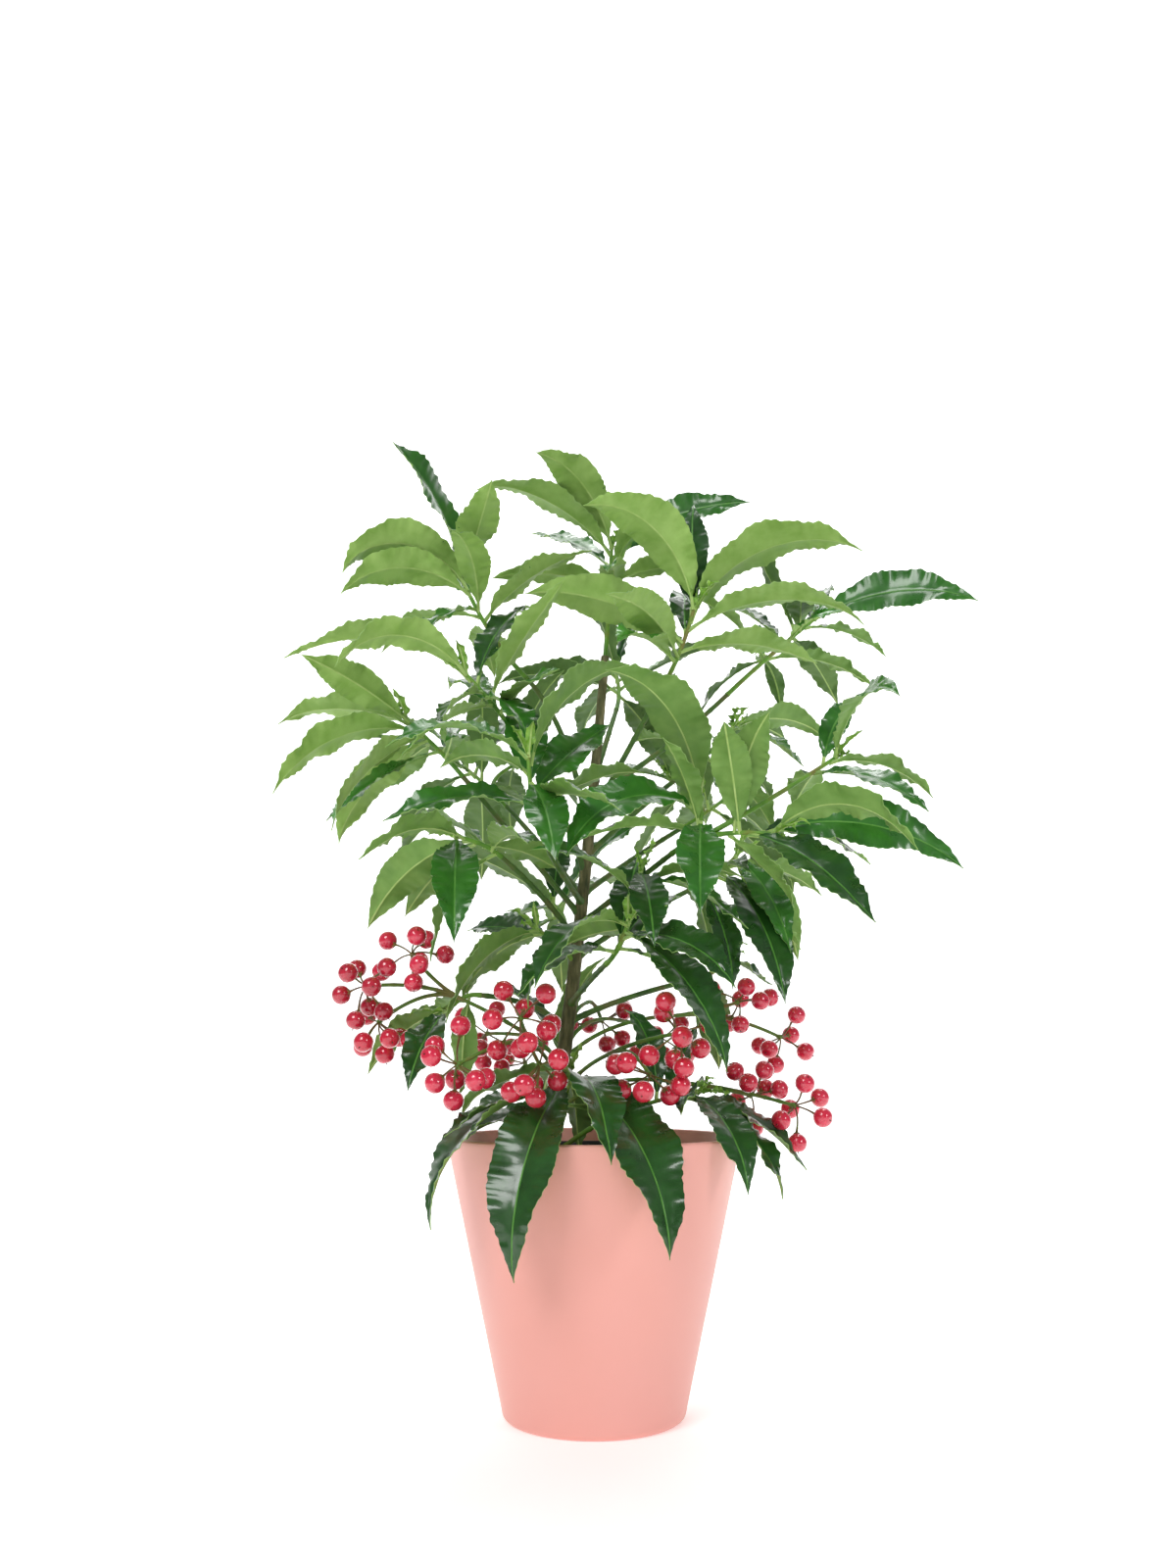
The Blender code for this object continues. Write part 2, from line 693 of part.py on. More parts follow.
def drawn_leaf(rng, base, heading, rise, length, freedom):
    """A leaf with its own width, arch, bend, roll and twist: broad low down, slim near the top."""
    half_width = blend(LOW_HALF_WIDTH, HIGH_HALF_WIDTH, trunk_share(base.z))
    return Leaf(
        base=base,
        heading=heading,
        rise=rise,
        length=length,
        width=length * half_width * rng.uniform(*LEAF_WIDTHS),
        arch=rng.uniform(*LEAF_ARCH),
        bend=rng.uniform(-LEAF_BEND, LEAF_BEND) * freedom,
        roll=rng.uniform(-LEAF_ROLL, LEAF_ROLL) * freedom,
        twist=rng.uniform(-LEAF_TWIST, LEAF_TWIST) * freedom,
    )


class Space:
    """Every skin placed so far, each with the mass or limb that it belongs to."""

    def __init__(self):
        self.skins = []

    def add(self, owner, skin):
        verts, faces = skin
        low, high = bounds_of(verts)
        self.skins.append((owner, BVHTree.FromPolygons(verts, faces), low, high))

    def add_part(self, owner, part):
        evaluated = part.evaluated_get(bpy.context.evaluated_depsgraph_get())
        mesh = evaluated.to_mesh()
        verts = [vert.co / MM for vert in mesh.vertices]
        faces = [tuple(face.vertices) for face in mesh.polygons]
        self.add(owner, (verts, faces))
        evaluated.to_mesh_clear()

    def touches(self, skin, friends):
        """Whether a skin crosses any other, apart from those of its friends."""
        verts, faces = skin
        low, high = bounds_of(verts)
        tree = None
        for owner, other, other_low, other_high in self.skins:
            if owner in friends:
                continue
            if any(high[k] < other_low[k] or low[k] > other_high[k] for k in range(3)):
                continue
            tree = tree or BVHTree.FromPolygons(verts, faces)
            if tree.overlap(other):
                return True
        return False


def bounds_of(verts):
    low = [min(vert[k] for vert in verts) for k in range(3)]
    high = [max(vert[k] for vert in verts) for k in range(3)]
    return low, high


def blade_of(skin):
    """A leaf's skin without its root section, which is sunk in the twig."""
    verts, faces = skin
    kept = [tuple(corner - 4 for corner in face) for face in faces if min(face) >= 4]
    return verts[4:], kept


def place_leaf(space, mass, centre, shoot_name, maker, shoot, points, index):
    """Try a leaf a few times, and keep the first that stays in its space and touches nothing."""
    for attempt in range(LEAF_TRIES):
        leaf = maker(shoot_name, shoot, points, index, attempt)
        tip = leaf_frames(leaf)[-1][0]
        if (tip - centre).length > MASS_REACH:
            continue
        fat = leaf_skin(leaf, extra=2 * GAP)
        if space.touches(fat, {mass, "stem of " + mass}):
            continue
        if space.touches(blade_of(fat), {"stem of " + mass}):
            continue
        skin = leaf_skin(leaf)
        space.add(mass, skin)
        return skin
    return None


def mass_stems(carrier, shoots):
    """The points of each shoot of a mass: the first from its foot, the rest forking off it."""
    foot, direction = mass_foot(carrier, shoots[0].tip)
    first = shoot_path(foot, direction, shoots[0].tip)
    paths = [first]
    for shoot in shoots[1:]:
        start, along = along_path(first, shoot.forks_at)
        paths.append(shoot_path(start, along, shoot.tip))
    return paths


def twig_skins(paths, root_radius, tip_radius):
    skins = []
    for path in paths:
        count = len(path) - 1
        radii = [blend(root_radius, tip_radius, index / count) for index in range(len(path))]
        skins.append(tube(path, radii, TWIG_SIDES))
    return skins


def umbel_berry(name, umbel, node, axis, index, attempt):
    """Where berry number index of an umbel hangs, on a spiral round the umbel's axis."""
    rng = random.Random(f"{name} berry {index} try {attempt}")
    across, up = side_axes(axis)
    slack = rng.uniform(-BERRY_TURN_SLACK, BERRY_TURN_SLACK)
    turn = math.radians(index * GOLDEN_ANGLE + slack + BERRY_TRY_TURN * attempt)
    open_angle = math.acos(blend(UMBEL_FRONT, UMBEL_BACK, (index + 0.5) / umbel.berries))
    way = axis * math.cos(open_angle)
    way += (across * math.cos(turn) + up * math.sin(turn)) * math.sin(open_angle)
    way = (way + Vector((0, 0, -BERRY_HANG))).normalized()
    return node + way * (PEDICEL_LENGTH * rng.uniform(*PEDICEL_LENGTHS))


def pedicel_skin(node, axis, berry):
    """A thin stalk from inside the swollen end of the umbel's stalk into its berry."""
    way = (berry - node).normalized()
    root = node + way * PEDICEL_OUTSET - axis * PEDICEL_SINK
    inside = berry - way * (BERRY_RADIUS * PEDICEL_IN_BERRY)
    return tube([root, inside], [PEDICEL_RADIUS] * 2, 3)


def berry_paths(carrier, fork_share, umbels):
    """The stalks of a berry mass: one out to where it forks, then one to each umbel."""
    middle = sum((Vector(umbel.centre) for umbel in umbels), Vector()) / len(umbels)
    foot, direction = mass_foot(carrier, middle)
    fork = foot.lerp(middle, fork_share) + Vector((0, 0, FORK_LIFT))
    stem = shoot_path(foot, direction, fork)
    onwards = (stem[-1] - stem[-2]).normalized()
    return [stem] + [shoot_path(fork, onwards, umbel.centre) for umbel in umbels]


def place_berries(space, mass, umbels, paths):
    """Berries and pedicels of a mass that fit clear of everything else."""
    skins = []
    centres = []
    for number, (umbel, path) in enumerate(zip(umbels, paths[1:])):
        node = path[-1]
        axis = (path[-1] - path[-2]).normalized()
        for index in range(umbel.berries):
            for attempt in range(BERRY_TRIES):
                name = f"{mass} umbel {number}"
                centre = umbel_berry(name, umbel, node, axis, index, attempt)
                crowded = any((centre - other).length < BERRY_SPACING * BERRY_RADIUS for other in centres)
                ball = ball_skin(centre, BERRY_RADIUS)
                stalk = pedicel_skin(node, axis, centre)
                if crowded or space.touches(grown(ball, centre), {mass}):
                    continue
                if space.touches(stalk, {mass, "stem of " + mass}):
                    continue
                centres.append(centre)
                skins += [ball, stalk]
                space.add(mass, ball)
                space.add(mass, stalk)
                break
    return skins


def grown(skin, centre):
    """A berry's skin a little larger, to keep its neighbours clear of it."""
    verts, faces = skin
    scale = 1 + 2 * GAP / BERRY_RADIUS
    return [centre + (vert - centre) * scale for vert in verts], faces


def fuse(name, skins):
    """Join the skins of one mass into a single closed body with one Boolean union.

    The exact solver comes first. Where it leaves an edge that doesn't join two faces, the manifold
    solver does the union instead.
    """
    body = united(name, skins, "EXACT")
    if not is_closed(body.data):
        bpy.data.objects.remove(body, do_unlink=True)
        body = united(name, skins, "MANIFOLD")
    return body


def united(name, skins, solver):
    """The union of the first skin with the rest, as one object with the union applied."""
    pieces = bpy.data.collections.new(name + "_pieces")
    bpy.context.scene.collection.children.link(pieces)
    for number, (verts, faces) in enumerate(skins[1:]):
        pieces.objects.link(mesh_object(f"{name}_piece_{number}", verts, faces))
    body = mesh_object(name, *skins[0])
    bpy.context.scene.collection.objects.link(body)
    boolean = body.modifiers.new("fuse", "BOOLEAN")
    boolean.operation = "UNION"
    boolean.operand_type = "COLLECTION"
    boolean.collection = pieces
    boolean.solver = solver
    bpy.context.view_layer.update()
    evaluated = body.evaluated_get(bpy.context.evaluated_depsgraph_get())
    mesh = bpy.data.meshes.new_from_object(evaluated)
    for piece in list(pieces.objects) + [body]:
        bpy.data.objects.remove(piece, do_unlink=True)
    bpy.data.collections.remove(pieces)
    keep_outer_body(mesh)
    return bpy.data.objects.new(name, mesh)


def is_closed(mesh):
    """Whether every edge joins exactly two faces."""
    work = bmesh.new()
    work.from_mesh(mesh)
    closed = all(len(edge.link_faces) == 2 for edge in work.edges)
    work.free()
    return closed


def keep_outer_body(mesh):
    """Drop loose scraps and fill sealed hollows: only the largest connected skin stays."""
    work = bmesh.new()
    work.from_mesh(mesh)
    seen = set()
    islands = []
    for first in work.verts:
        if first in seen:
            continue
        island = []
        queue = [first]
        seen.add(first)
        while queue:
            vert = queue.pop()
            island.append(vert)
            for edge in vert.link_edges:
                other = edge.other_vert(vert)
                if other not in seen:
                    seen.add(other)
                    queue.append(other)
        islands.append(island)
    islands.sort(key=len, reverse=True)
    for island in islands[1:]:
        bmesh.ops.delete(work, geom=island, context="VERTS")
    bmesh.ops.recalc_face_normals(work, faces=work.faces)
    work.to_mesh(mesh)
    work.free()


def grow(space):
    """Skins of every mass, in the order: stems, leaves that stand out, berries, other leaves."""
    skins = {}
    leaf_paths = {}
    berry_stalks = {}
    for mass, (carrier, shoots) in FOLIAGE.items():
        leaf_paths[mass] = mass_stems(carrier, shoots)
        skins[mass] = twig_skins(leaf_paths[mass], TWIG_ROOT_RADIUS, TWIG_TIP_RADIUS)
        for skin in skins[mass]:
            space.add("stem of " + mass, skin)
    for mass, (carrier, fork_share, umbels) in BERRIES.items():
        berry_stalks[mass] = berry_paths(carrier, fork_share, umbels)
        skins[mass] = twig_skins(berry_stalks[mass], PEDUNCLE_RADIUS, UMBEL_FOOT_RADIUS)
        for skin in skins[mass]:
            space.add("stem of " + mass, skin)
    for mass in FOLIAGE:
        skins[mass] += grow_leaves(space, mass, leaf_paths[mass], "shown")
    for mass, (_, _, umbels) in BERRIES.items():
        skins[mass] += place_berries(space, mass, umbels, berry_stalks[mass])
    for mass in FOLIAGE:
        skins[mass] += grow_leaves(space, mass, leaf_paths[mass], "rule")
    return skins


def grow_leaves(space, mass, paths, kind):
    """The leaves of one kind that a mass has room for."""
    shoots = FOLIAGE[mass][1]
    centre = Vector(shoots[0].tip)
    grown_skins = []
    for number, (shoot, points) in enumerate(zip(shoots, paths)):
        shoot_name = f"{mass} shoot {number}"
        maker = shown_leaf if kind == "shown" else rule_leaf
        first = 0 if kind == "shown" else len(shoot.shown)
        last = len(shoot.shown) if kind == "shown" else shoot.leaves
        for index in range(first, last):
            skin = place_leaf(space, mass, centre, shoot_name, maker, shoot, points, index)
            if skin:
                grown_skins.append(skin)
    return grown_skins


def build():
    clear_scene()
    collection = new_collection(OBJECT_NAME)
    cutters = new_collection("cutters")
    bark = make_material("bark", (0.16, 0.13, 0.08), 0.75)
    space = Space()
    pot_colours = {
        "planter": ((0.86, 0.40, 0.35), 0.35),
        "nursery_pot": ((0.03, 0.03, 0.035), 0.5),
        "soil": ((0.05, 0.03, 0.02), 0.95),
    }
    for make in (make_pot, make_liner, make_soil):
        part = make()
        finish(part, collection, make_material(part.name, *pot_colours[part.name]))
        space.add_part(part.name, part)
    trunk = make_trunk(collection, bark)
    space.add_part("trunk", trunk)
    for name, bough in make_boughs(collection, cutters, bark).items():
        space.add_part(name, bough)
    for name, skins in grow(space).items():
        body = fuse(name, skins)
        if name in BERRIES:
            material = make_material(name, (0.72, 0.04, 0.08), 0.25)
        else:
            material = make_material(name, (0.08, 0.26, 0.05), 0.4)
        finish(body, collection, material)
    return collection


build()
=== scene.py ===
# %% [markdown]
# # A potted coral ardisia, leaf by leaf
# This lesson dresses the solids of a small berry shrub in its planter. The solids say where the
# trunk, the boughs, each leaf and each berry are. The cells below grow the same plant again by the
# same rule, with toothed glossy leaves, round berries and bark, and set up a studio round it.

# %% Frame
import math
import random
from dataclasses import dataclass, field

import bpy
import numpy as np
from mathutils import Matrix, Vector, noise
from mathutils.kdtree import KDTree


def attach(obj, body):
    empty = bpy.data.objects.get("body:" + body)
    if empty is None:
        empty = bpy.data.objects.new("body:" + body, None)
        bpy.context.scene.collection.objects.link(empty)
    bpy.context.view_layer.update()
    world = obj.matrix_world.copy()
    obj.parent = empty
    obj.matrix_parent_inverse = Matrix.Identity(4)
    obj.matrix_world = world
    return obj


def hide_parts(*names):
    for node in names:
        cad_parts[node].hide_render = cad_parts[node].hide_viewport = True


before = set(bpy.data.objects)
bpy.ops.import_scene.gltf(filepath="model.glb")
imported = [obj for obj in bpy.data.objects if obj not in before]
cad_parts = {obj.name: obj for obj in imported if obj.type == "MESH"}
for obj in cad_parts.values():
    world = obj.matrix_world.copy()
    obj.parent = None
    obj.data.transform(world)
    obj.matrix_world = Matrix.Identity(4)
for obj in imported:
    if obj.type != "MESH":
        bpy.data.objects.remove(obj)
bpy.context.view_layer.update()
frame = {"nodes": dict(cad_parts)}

MM = 0.001

# %% [markdown]
# ## Camera first
# The photograph looks slightly up at the plant from close by, from about a third of its height.
# A short lens and a small upward pitch give the same shape to the pot: its rim is a thin line and
# its foot curves down. The pitch keeps the framing, so no lens shift is needed.

# %% Camera
CAMERA_PLACE = Vector((-0.0026, -0.587, 0.149))
CAMERA_PITCH = 12.0
CAMERA_LENS = 29.45

camera = bpy.data.objects.new("camera", bpy.data.cameras.new("camera"))
camera.data.lens = CAMERA_LENS
camera.data.sensor_width = 36.0
camera.location = CAMERA_PLACE
camera.rotation_euler = (math.radians(90 + CAMERA_PITCH), 0, 0)
camera.data.clip_start = 0.01
bpy.context.scene.collection.objects.link(camera)
bpy.context.scene.camera = camera

# %% [markdown]
# ## Two helpers for colour and nodes
# A colour is given as an sRGB hex value, and a shader wants it linear, so one function turns
# it. Another adds a node with its settings and links: a name in lower case is one of the node's own
# setting, and a capitalised name is a socket.

# %% Colour and node helpers
def linear(hex_colour):
    """An sRGB hex colour as the linear colour of a shader."""
    channels = [int(hex_colour[place:place + 2], 16) / 255 for place in (1, 3, 5)]
    return (*[c / 12.92 if c <= 0.04045 else ((c + 0.055) / 1.055) ** 2.4 for c in channels], 1.0)


def add_node(tree, kind, settings, links=None):
    """Add a node with its settings, and link its inputs to other nodes' outputs."""
    node = tree.nodes.new(kind)
    for name, value in settings.items():
        if name[0].islower():
            setattr(node, name, value)
        else:
            node.inputs[name].default_value = value
    for name, output in (links or {}).items():
        tree.links.new(output, node.inputs[name])
    return node


def new_finish(name, roughness, ior, **sockets):
    """A Principled material without metal, with its node tree and shader to build on."""
    material = bpy.data.materials.new(name)
    material.use_nodes = True
    shader = material.node_tree.nodes["Principled BSDF"]
    shader.inputs["Metallic"].default_value = 0.0
    shader.inputs["Roughness"].default_value = roughness
    shader.inputs["IOR"].default_value = ior
    for name, value in sockets.items():
        shader.inputs[name.replace("_", " ")].default_value = value
    return material, material.node_tree, shader


# %% [markdown]
# ## Mottled surfaces
# Living surfaces are never one colour. Most finishes here drift between a few near colours in soft
# patches, and carry a fine relief. One function makes that from noise in object space, with both
# sizes given in millimetres. The patches also move the roughness a little, so highlights break up.

# %% Mottled finish
def mottled(name, colours, patch_mm, grain_mm, relief_mm, roughness, ior=1.45, **sockets):
    """A finish that drifts between its colours in patches and has a fine bumpy grain."""
    material, tree, shader = new_finish(name, roughness, ior, **sockets)
    place = add_node(tree, "ShaderNodeTexCoord", {})
    patches = add_node(tree, "ShaderNodeTexNoise", {"Scale": 1 / (patch_mm * MM), "Detail": 3.0},
                       {"Vector": place.outputs["Object"]})
    ramp = add_node(tree, "ShaderNodeValToRGB", {}, {"Fac": patches.outputs["Fac"]})
    stops = ramp.color_ramp.elements
    while len(stops) < len(colours):
        stops.new(0.5)
    for number, colour in enumerate(colours):
        stops[number].position = 0.34 + 0.32 * number / max(len(colours) - 1, 1)
        stops[number].color = linear(colour)
    tree.links.new(ramp.outputs["Color"], shader.inputs["Base Color"])
    gloss = add_node(tree, "ShaderNodeMapRange",
                     {"From Min": 0.3, "From Max": 0.7, "To Min": roughness * 0.85,
                      "To Max": roughness * 1.2}, {"Value": patches.outputs["Fac"]})
    tree.links.new(gloss.outputs["Result"], shader.inputs["Roughness"])
    grain = add_node(tree, "ShaderNodeTexNoise", {"Scale": 1 / (grain_mm * MM), "Detail": 2.0},
                     {"Vector": place.outputs["Object"]})
    bump = add_node(tree, "ShaderNodeBump", {"Distance": relief_mm * MM, "Strength": 0.6},
                    {"Height": grain.outputs["Fac"]})
    tree.links.new(bump.outputs["Normal"], shader.inputs["Normal"])
    return material


# %% [markdown]
# ## Leaf finishes
# A leaf of this shrub has two faces. Above is a waxy cuticle: deep green, with a sharp gloss over a
# softer one, which a clear coat gives. Below is the bare underside: matte, paler and yellower; its
# pale green is partly its own colour and partly painted light shining through the blade. Tops
# darken with age, so there are three shades of them, dealt out shoot by shoot. The underside has
# three copies that are painted light instead: a lit one, a middle one and a painted shade, dealt
# out by where a leaf stands. The midrib and the thin pale margin are faces of their own, so they
# need no picture to sit in the right place.

# %% Leaf finishes
LEAF_GRAIN_MM = 0.6
LEAF_PATCH_MM = 9.0


def cuticle(name, colours):
    """Waxy upper skin: IOR of plant wax, glossy, with a thin clear coat."""
    return mottled(name, colours, LEAF_PATCH_MM, LEAF_GRAIN_MM, 0.05, 0.30, 1.45,
                   Coat_Weight=0.5, Coat_Roughness=0.14)


def underside(name, colours):
    """Bare lower skin: pale, matte and faintly grained by its veins."""
    return mottled(name, colours, LEAF_PATCH_MM, LEAF_GRAIN_MM, 0.06, 0.55, 1.40)


LEAF_FINISHES = [
    cuticle("cuticle_dark", ["#1a4415", "#22541a"]),
    cuticle("cuticle_green", ["#26611b", "#33741f"]),
    cuticle("cuticle_bright", ["#32801f", "#479a28"]),
    # Three lit and shaded copies of the underside: painted light, palest in the light, then a middle one,
    # then painted shade.
    underside("underside_painted_lit", ["#86ad50", "#9cbf66"]),
    underside("underside_painted_middle", ["#6a9342", "#7da351"]),
    underside("underside_painted_shade", ["#567a3b", "#688847"]),
    mottled("midrib_above", ["#47822f", "#5d9640"], 6, 0.5, 0.03, 0.35),
    mottled("midrib_below", ["#9dbd63", "#b3cd7c"], 6, 0.5, 0.04, 0.5),
    mottled("leaf_margin", ["#7fa854", "#97ba6c"], 5, 0.5, 0.03, 0.45),
    mottled("young_leaf", ["#76a937", "#92bd4c"], 5, 0.5, 0.03, 0.38, Coat_Weight=0.2),
]
TOP_SHADES = [0, 1, 2]
UNDER_PAINTED_LIGHT = [3, 4, 5]
MIDRIB_ABOVE, MIDRIB_BELOW, MARGIN, YOUNG = 6, 7, 8, 9

# %% [markdown]
# ## Wood, stalk and berry finishes
# Young shoots are green and smooth, boughs are green going brown, and the trunk has thin grey-brown
# bark with fine cracks along it. A berry is a taut skin with a bright highlight, so it is glossy
# and has a clear coat. Its red differs a little from umbel to umbel.

# %% Stem and berry finishes
SHOOT_GREEN = mottled("shoot_skin", ["#4c7f22", "#6b9c34", "#7c7a3a"], 12, 0.7, 0.05, 0.5)
BOUGH_SKIN = mottled("bough_skin", ["#35591d", "#4a6e28", "#5f6434"], 9, 0.9, 0.08, 0.55)
STALK_SKIN = mottled("pedicel_skin", ["#5d4323", "#6e5529", "#5c6a2a"], 6, 0.4, 0.03, 0.5)
PEDUNCLE_SKIN = mottled("peduncle_skin", ["#4a7424", "#5d8230", "#76703a"], 9, 0.5, 0.04, 0.5)
BERRY_GRAIN_MM = 1.2
BERRY_PATCH_MM = 5.0


def berry_skin(name, colours):
    """Taut waxed fruit skin under a clear coat, which draws one sharp white highlight."""
    return mottled(name, colours, BERRY_PATCH_MM, BERRY_GRAIN_MM, 0.01, 0.2, 1.5,
                   Coat_Weight=1.0, Coat_Roughness=0.08)


BERRY_FINISHES = [
    berry_skin("berry_pink", ["#d31f3f", "#de3050"]),
    berry_skin("berry_red", ["#c61a36", "#d42845"]),
    berry_skin("berry_deep", ["#ad152d", "#c4213c"]),
    mottled("berry_style", ["#3a2018", "#5a3322"], 2, 0.4, 0.02, 0.6),
    mottled("berry_calyx", ["#6d5a2c", "#8a6a36"], 2, 0.4, 0.02, 0.55),
]
STYLE, CALYX = 3, 4


def bark_finish():
    """Thin bark: grey-brown over green, with cracks that run along the stem."""
    material, tree, shader = new_finish("ardisia_bark", 0.75, 1.45)
    place = add_node(tree, "ShaderNodeTexCoord", {})
    drawn_out = add_node(tree, "ShaderNodeMapping", {"Scale": (1.0, 1.0, 0.22)},
                         {"Vector": place.outputs["Object"]})
    patches = add_node(tree, "ShaderNodeTexNoise", {"Scale": 1 / (2.2 * MM), "Detail": 5.0},
                       {"Vector": drawn_out.outputs["Vector"]})
    ramp = add_node(tree, "ShaderNodeValToRGB", {}, {"Fac": patches.outputs["Fac"]})
    for number, (share, colour) in enumerate([(0.3, "#3a3f22"), (0.7, "#847d5a")]):
        ramp.color_ramp.elements[number].position = share
        ramp.color_ramp.elements[number].color = linear(colour)
    middle = ramp.color_ramp.elements.new(0.5)
    middle.color = linear("#5b5a38")
    tree.links.new(ramp.outputs["Color"], shader.inputs["Base Color"])
    bump = add_node(tree, "ShaderNodeBump", {"Distance": 0.25 * MM, "Strength": 0.8},
                    {"Height": patches.outputs["Fac"]})
    tree.links.new(bump.outputs["Normal"], shader.inputs["Normal"])
    return material


TRUNK_BARK = bark_finish()

# %% [markdown]
# ## Pot and soil finishes
# The planter is injection-moulded polypropylene, dyed through, with a satin skin: IOR 1.49 and a
# middle roughness give a broad soft highlight. The nursery pot inside is thin recycled plastic, dark
# grey and duller. Potting mix is dark, matte and crumbly.

# %% Pot and soil finishes
PLANTER_PLASTIC = mottled("planter_polypropylene", ["#efa99d", "#f0aca2"], 60, 0.35, 0.008, 0.38, 1.49)
NURSERY_PLASTIC = mottled("nursery_polypropylene", ["#24262a", "#2f3136"], 8, 0.5, 0.03, 0.5, 1.49)
POTTING_MIX = mottled("potting_mix", ["#1d130c", "#3a281a", "#4d3824"], 3, 0.8, 0.4, 0.95)
MIX_CRUMB = mottled("mix_crumb", ["#2a1a10", "#5a4028"], 2, 0.6, 0.2, 0.9)
print(len(bpy.data.materials), "materials")

# %% [markdown]
# ## Gathering many small things into one piece
# Two hundred leaves as two hundred objects would be slow to handle. Instead, each mass gathers the
# corners and faces of its leaves in arrays, and becomes one mesh at the end. Each face keeps the
# number of its finish, and edges sharper than a set angle stay crisp.

# %% Gathering
SMOOTH_UP_TO = math.radians(50)


class Gather:
    """Corners, faces and finishes of many small things that become one joined piece."""

    def __init__(self):
        self.corners = []
        self.faces = []
        self.finishes = []
        self.count = 0

    def add(self, corners, faces, finish):
        """Add corners in millimetres and a list of (face array, finish or array of finishes)."""
        for corner_ids in faces:
            self.faces += (corner_ids + self.count).tolist()
        total = sum(len(corner_ids) for corner_ids in faces)
        self.finishes += [finish] * total if isinstance(finish, int) else list(finish)
        self.corners.append(corners)
        self.count += len(corners)

    def make(self, name, materials, nodes):
        """The gathered piece, riding on the plant's body in place of its solids."""
        mesh = bpy.data.meshes.new(name)
        mesh.from_pydata((np.vstack(self.corners) * MM).tolist(), [], self.faces)
        for material in materials:
            mesh.materials.append(material)
        mesh.polygons.foreach_set("material_index", self.finishes)
        mesh.shade_smooth()
        mesh.set_sharp_from_angle(angle=SMOOTH_UP_TO)
        made = bpy.data.objects.new(name, mesh)
        bpy.context.scene.collection.objects.link(made)
        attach(made, "root")
        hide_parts(*nodes)
        triangles = sum(len(face) - 2 for face in self.faces)
        tally.append(triangles)
        return made


tally = []

# %% [markdown]
# ## Round limbs
# Trunk, twigs, stalks and even berries are rings round a line. A side direction is carried along
# the line, so that the rings don't twist. The radius may differ round each ring, which gives bark
# its relief and a calyx its lobes.

# %% Round limbs
def unit(vectors):
    """Vectors of length one, along the last axis."""
    return vectors / np.linalg.norm(vectors, axis=-1, keepdims=True)


def ring_faces(rings, sides):
    """Four-cornered faces between neighbouring rings of corners, facing outwards."""
    ring, side = np.meshgrid(np.arange(rings - 1), np.arange(sides), indexing="ij")
    after = (side + 1) % sides
    corners = [ring * sides + side, ring * sides + after,
               (ring + 1) * sides + after, (ring + 1) * sides + side]
    return np.stack([corner.ravel() for corner in corners], axis=1)


def round_limb(points, radii, sides):
    """Corners and faces of a closed round limb through points, in millimetres."""
    points = np.array([tuple(point) for point in points], float)
    along = unit(np.gradient(points, axis=0))
    start = [1.0, 0.0, 0.0] if abs(along[0][2]) > 0.7 else [0.0, 0.0, 1.0]
    side = unit(np.cross(along[0], start))
    across = np.empty_like(along)
    for index, way in enumerate(along):
        side = unit(side - way * side.dot(way))
        across[index] = side
    up = np.cross(along, across)
    angles = np.arange(sides) * (2 * math.pi / sides)
    outwards = across[:, None] * np.cos(angles)[:, None] + up[:, None] * np.sin(angles)[:, None]
    radii = np.array(radii, float)
    radii = radii[:, None] if radii.ndim == 1 else radii
    corners = (points[:, None] + outwards * radii[..., None]).reshape(-1, 3)
    corners = np.vstack([corners, points[0], points[-1]])
    first = np.arange(sides)
    after = (first + 1) % sides
    last = (len(points) - 1) * sides
    low = np.stack([after, first, np.full(sides, len(corners) - 2)], axis=1)
    high = np.stack([first + last, after + last, np.full(sides, len(corners) - 1)], axis=1)
    return corners, [ring_faces(len(points), sides), low, high]


# %% [markdown]
# ## The plant's sizes
# These are the sizes and places that the solids were built from, in millimetres. The trunk leans to
# the right. Each bough has its height on the trunk, its tip, and how much of its climb comes first.

# %% Trunk and boughs
GAP = 0.3
SOIL_LEVEL = 99.0
TRUNK_FOOT = Vector((-20.0, 0.0, SOIL_LEVEL + GAP))
TRUNK_TOP = Vector((5.6, 0.0, 336.0))
TRUNK_BOW = 1.8
TRUNK_SWAY = 2.0
TRUNK_FOOT_RADIUS = 3.6
TRUNK_TOP_RADIUS = 1.9
ROOT_FLARE = 3.2
FLARE_HEIGHT = 5.0
BOUGH_ROOT_RADIUS = 1.7
BOUGH_TIP_RADIUS = 1.25
BOUGHS = {
    "bough_upper_left": (248.5, (-32, -14, 322), 0.72),
    "bough_left": (212, (-62, -2, 278), 0.50),
    "bough_left_inner": (232, (-38, -32, 294), 0.60),
    "bough_left_low": (200, (-42, -27, 236), 0.58),
    "bough_front_left": (218, (-22, -54, 240), 0.42),
    "bough_upper_right": (257, (33, -22, 317), 0.50),
    "bough_far_right": (267, (66, 14, 322), 0.45),
    "bough_right_mid": (240, (48, 16, 286), 0.52),
    "bough_right_front": (208, (34, -49, 234), 0.50),
    "bough_right_low": (193, (48, 2, 226), 0.55),
    "bough_centre_low": (172, (6, -44, 188), 0.55),
    "bough_low_left": (158, (-52, -6, 176), 0.85),
    "bough_back_high": (275, (12, 42, 322), 0.50),
    "bough_back_left": (220.5, (-44, 42, 272), 0.52),
    "bough_back_right": (222, (46, 46, 262), 0.52),
    "bough_back_low": (183, (-14, 52, 214), 0.52),
    "bough_low_right": (164, (46, 22, 184), 0.60),
}

# %% [markdown]
# ## Where each leaf is
# A shoot ends in a cluster of leaves. Some leaves are placed one by one, by heading and rise,
# because they show in the photograph. The rest follow the golden angle, which is how a shoot
# spaces its leaves. Each leaf has its own seed, so the same leaf comes out here as in the solids.

